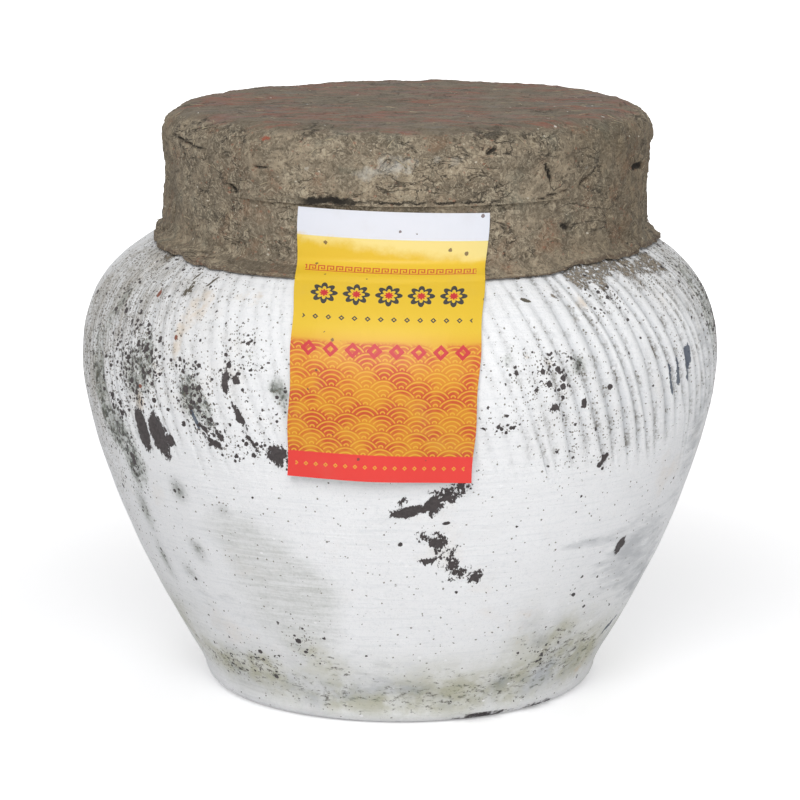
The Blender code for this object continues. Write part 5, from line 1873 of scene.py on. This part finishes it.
class JAR_OT_stage(bpy.types.Operator):
    """Set up the camera, the soft lights and the pale floor."""
    bl_idname = "wine_jar.stage"
    bl_label = "Stage"

    def execute(self, context):
        look = context.scene.stage_look
        self.camera(context, look)
        self.floor(look)
        self.light("key", (-0.25, -2.1, 1.7), 1.5, 40)
        self.light("fill", (1.9, -1.5, 0.9), 1.6, 5)
        self.light("rim", (0.4, 1.8, 1.7), 1.4, 9)
        world = bpy.data.worlds.new("studio")
        context.scene.world = world
        world.use_nodes = True
        draw = Drawing(world.node_tree)
        back = world.node_tree.nodes["Background"]
        draw.add("ShaderNodeLightPath", {})
        rays = [draw.last("Is " + kind + " Ray") for kind in ("Camera", "Glossy", "Transmission")]
        draw.feed(back.inputs["Strength"], draw.step(draw.most(*rays), 0, 1, 1.0, 0.40))
        draw.feed(back.inputs["Color"], (1, 1, 1, 1))
        context.scene.view_settings.view_transform = "Standard"
        return {"FINISHED"}

    def camera(self, context, look):
        """The photograph's view: in front of the jar and a little above it."""
        away = Vector((0, -math.cos(look.elevation), math.sin(look.elevation))) * look.distance
        place = away + Vector((0, 0, look.sight))
        deselect()
        bpy.ops.object.camera_add(location=place)
        camera = context.object
        camera.name = "camera"
        camera.data.lens = look.lens
        camera.data.sensor_width = 36
        sight = Vector((0, 0, look.aim)) - place
        camera.rotation_euler = sight.to_track_quat("-Z", "Y").to_euler()
        context.scene.camera = camera

    def floor(self, look):
        """A pale sweep: a floor that bends up far behind the jar."""
        deselect()
        bpy.ops.mesh.primitive_plane_add(size=look.floor_size, enter_editmode=True)
        floor = name_piece("floor")
        bpy.ops.mesh.subdivide(number_cuts=5)
        bpy.ops.object.mode_set(mode="OBJECT")
        draw = Finish("pale_floor", 0.9)
        grain = draw.noise(draw.place(), 60, 3)
        finish = draw.done(Base_Color=draw.mix(grain, look.floor, shade(look.floor, 0.985)))
        away = draw.vector("LENGTH", draw.place(), out=1)
        glow = draw.add("ShaderNodeEmission", {"Color": (1, 1, 1, 1),
                                               "Strength": draw.step(away, 0.25, 1.3, 1.0, 0.32)})
        seen = draw.add("ShaderNodeLightPath", {}, out="Is Camera Ray")
        none = draw.add("ShaderNodeEmission", {"Strength": 0.0})
        extra = draw.add("ShaderNodeMixShader", {0: seen, 1: none, 2: glow})
        own = Value(draw, draw.shader.outputs[0])
        both = draw.add("ShaderNodeAddShader", {0: own, 1: extra})
        draw.feed(draw.tree.nodes["Material Output"].inputs["Surface"], both)
        floor.data.materials.append(finish)

    def light(self, name, place, size, power):
        """One soft square lamp that looks at the jar."""
        deselect()
        bpy.ops.object.light_add(type="AREA", location=place)
        lamp = bpy.context.object
        lamp.name = name
        lamp.data.size = size
        lamp.data.energy = power
        sight = Vector((0, 0, LAMP_AIM)) - Vector(place)
        lamp.rotation_euler = sight.to_track_quat("-Z", "Y").to_euler()


class JAR_PT_panel(bpy.types.Panel):
    """Lists the steps that make the jar."""
    bl_idname = "JAR_PT_panel"
    bl_label = "Sealed wine jar"
    bl_space_type = "VIEW_3D"
    bl_region_type = "UI"
    bl_category = "Wine jar"

    def draw(self, context):
        for step in STEPS:
            self.layout.operator(step.bl_idname)
        for name, _ in LOOKS:
            settings = getattr(context.scene, name)
            column = self.layout.column(align=True)
            for key in settings.__annotations__:
                column.prop(settings, key)


LOOKS = (("jar_look", JarLook), ("mud_look", MudLook), ("wrap_look", WrapLook),
         ("slip_look", SlipLook), ("stage_look", StageLook))
STEPS = (JAR_OT_shell, JAR_OT_wraps, JAR_OT_saucer, JAR_OT_tie, JAR_OT_mud, JAR_OT_slip,
         JAR_OT_stage)


def register():
    for _, look in LOOKS:
        bpy.utils.register_class(look)
    for name, look in LOOKS:
        setattr(bpy.types.Scene, name, PointerProperty(type=look))
    for step in (*STEPS, JAR_PT_panel):
        bpy.utils.register_class(step)


def unregister():
    for step in (*STEPS, JAR_PT_panel):
        bpy.utils.unregister_class(step)
    for name, look in LOOKS:
        delattr(bpy.types.Scene, name)
        bpy.utils.unregister_class(look)


def main():
    """Make the jar."""
    register()
    for effect in (speckle_effect, flake_effect, fibre_effect, cloud_effect):
        effect()
    for step in STEPS:
        group, name = step.bl_idname.split(".")
        getattr(getattr(bpy.ops, group), name)()
    deselect()
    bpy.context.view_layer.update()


if __name__ == "__main__":
    main()
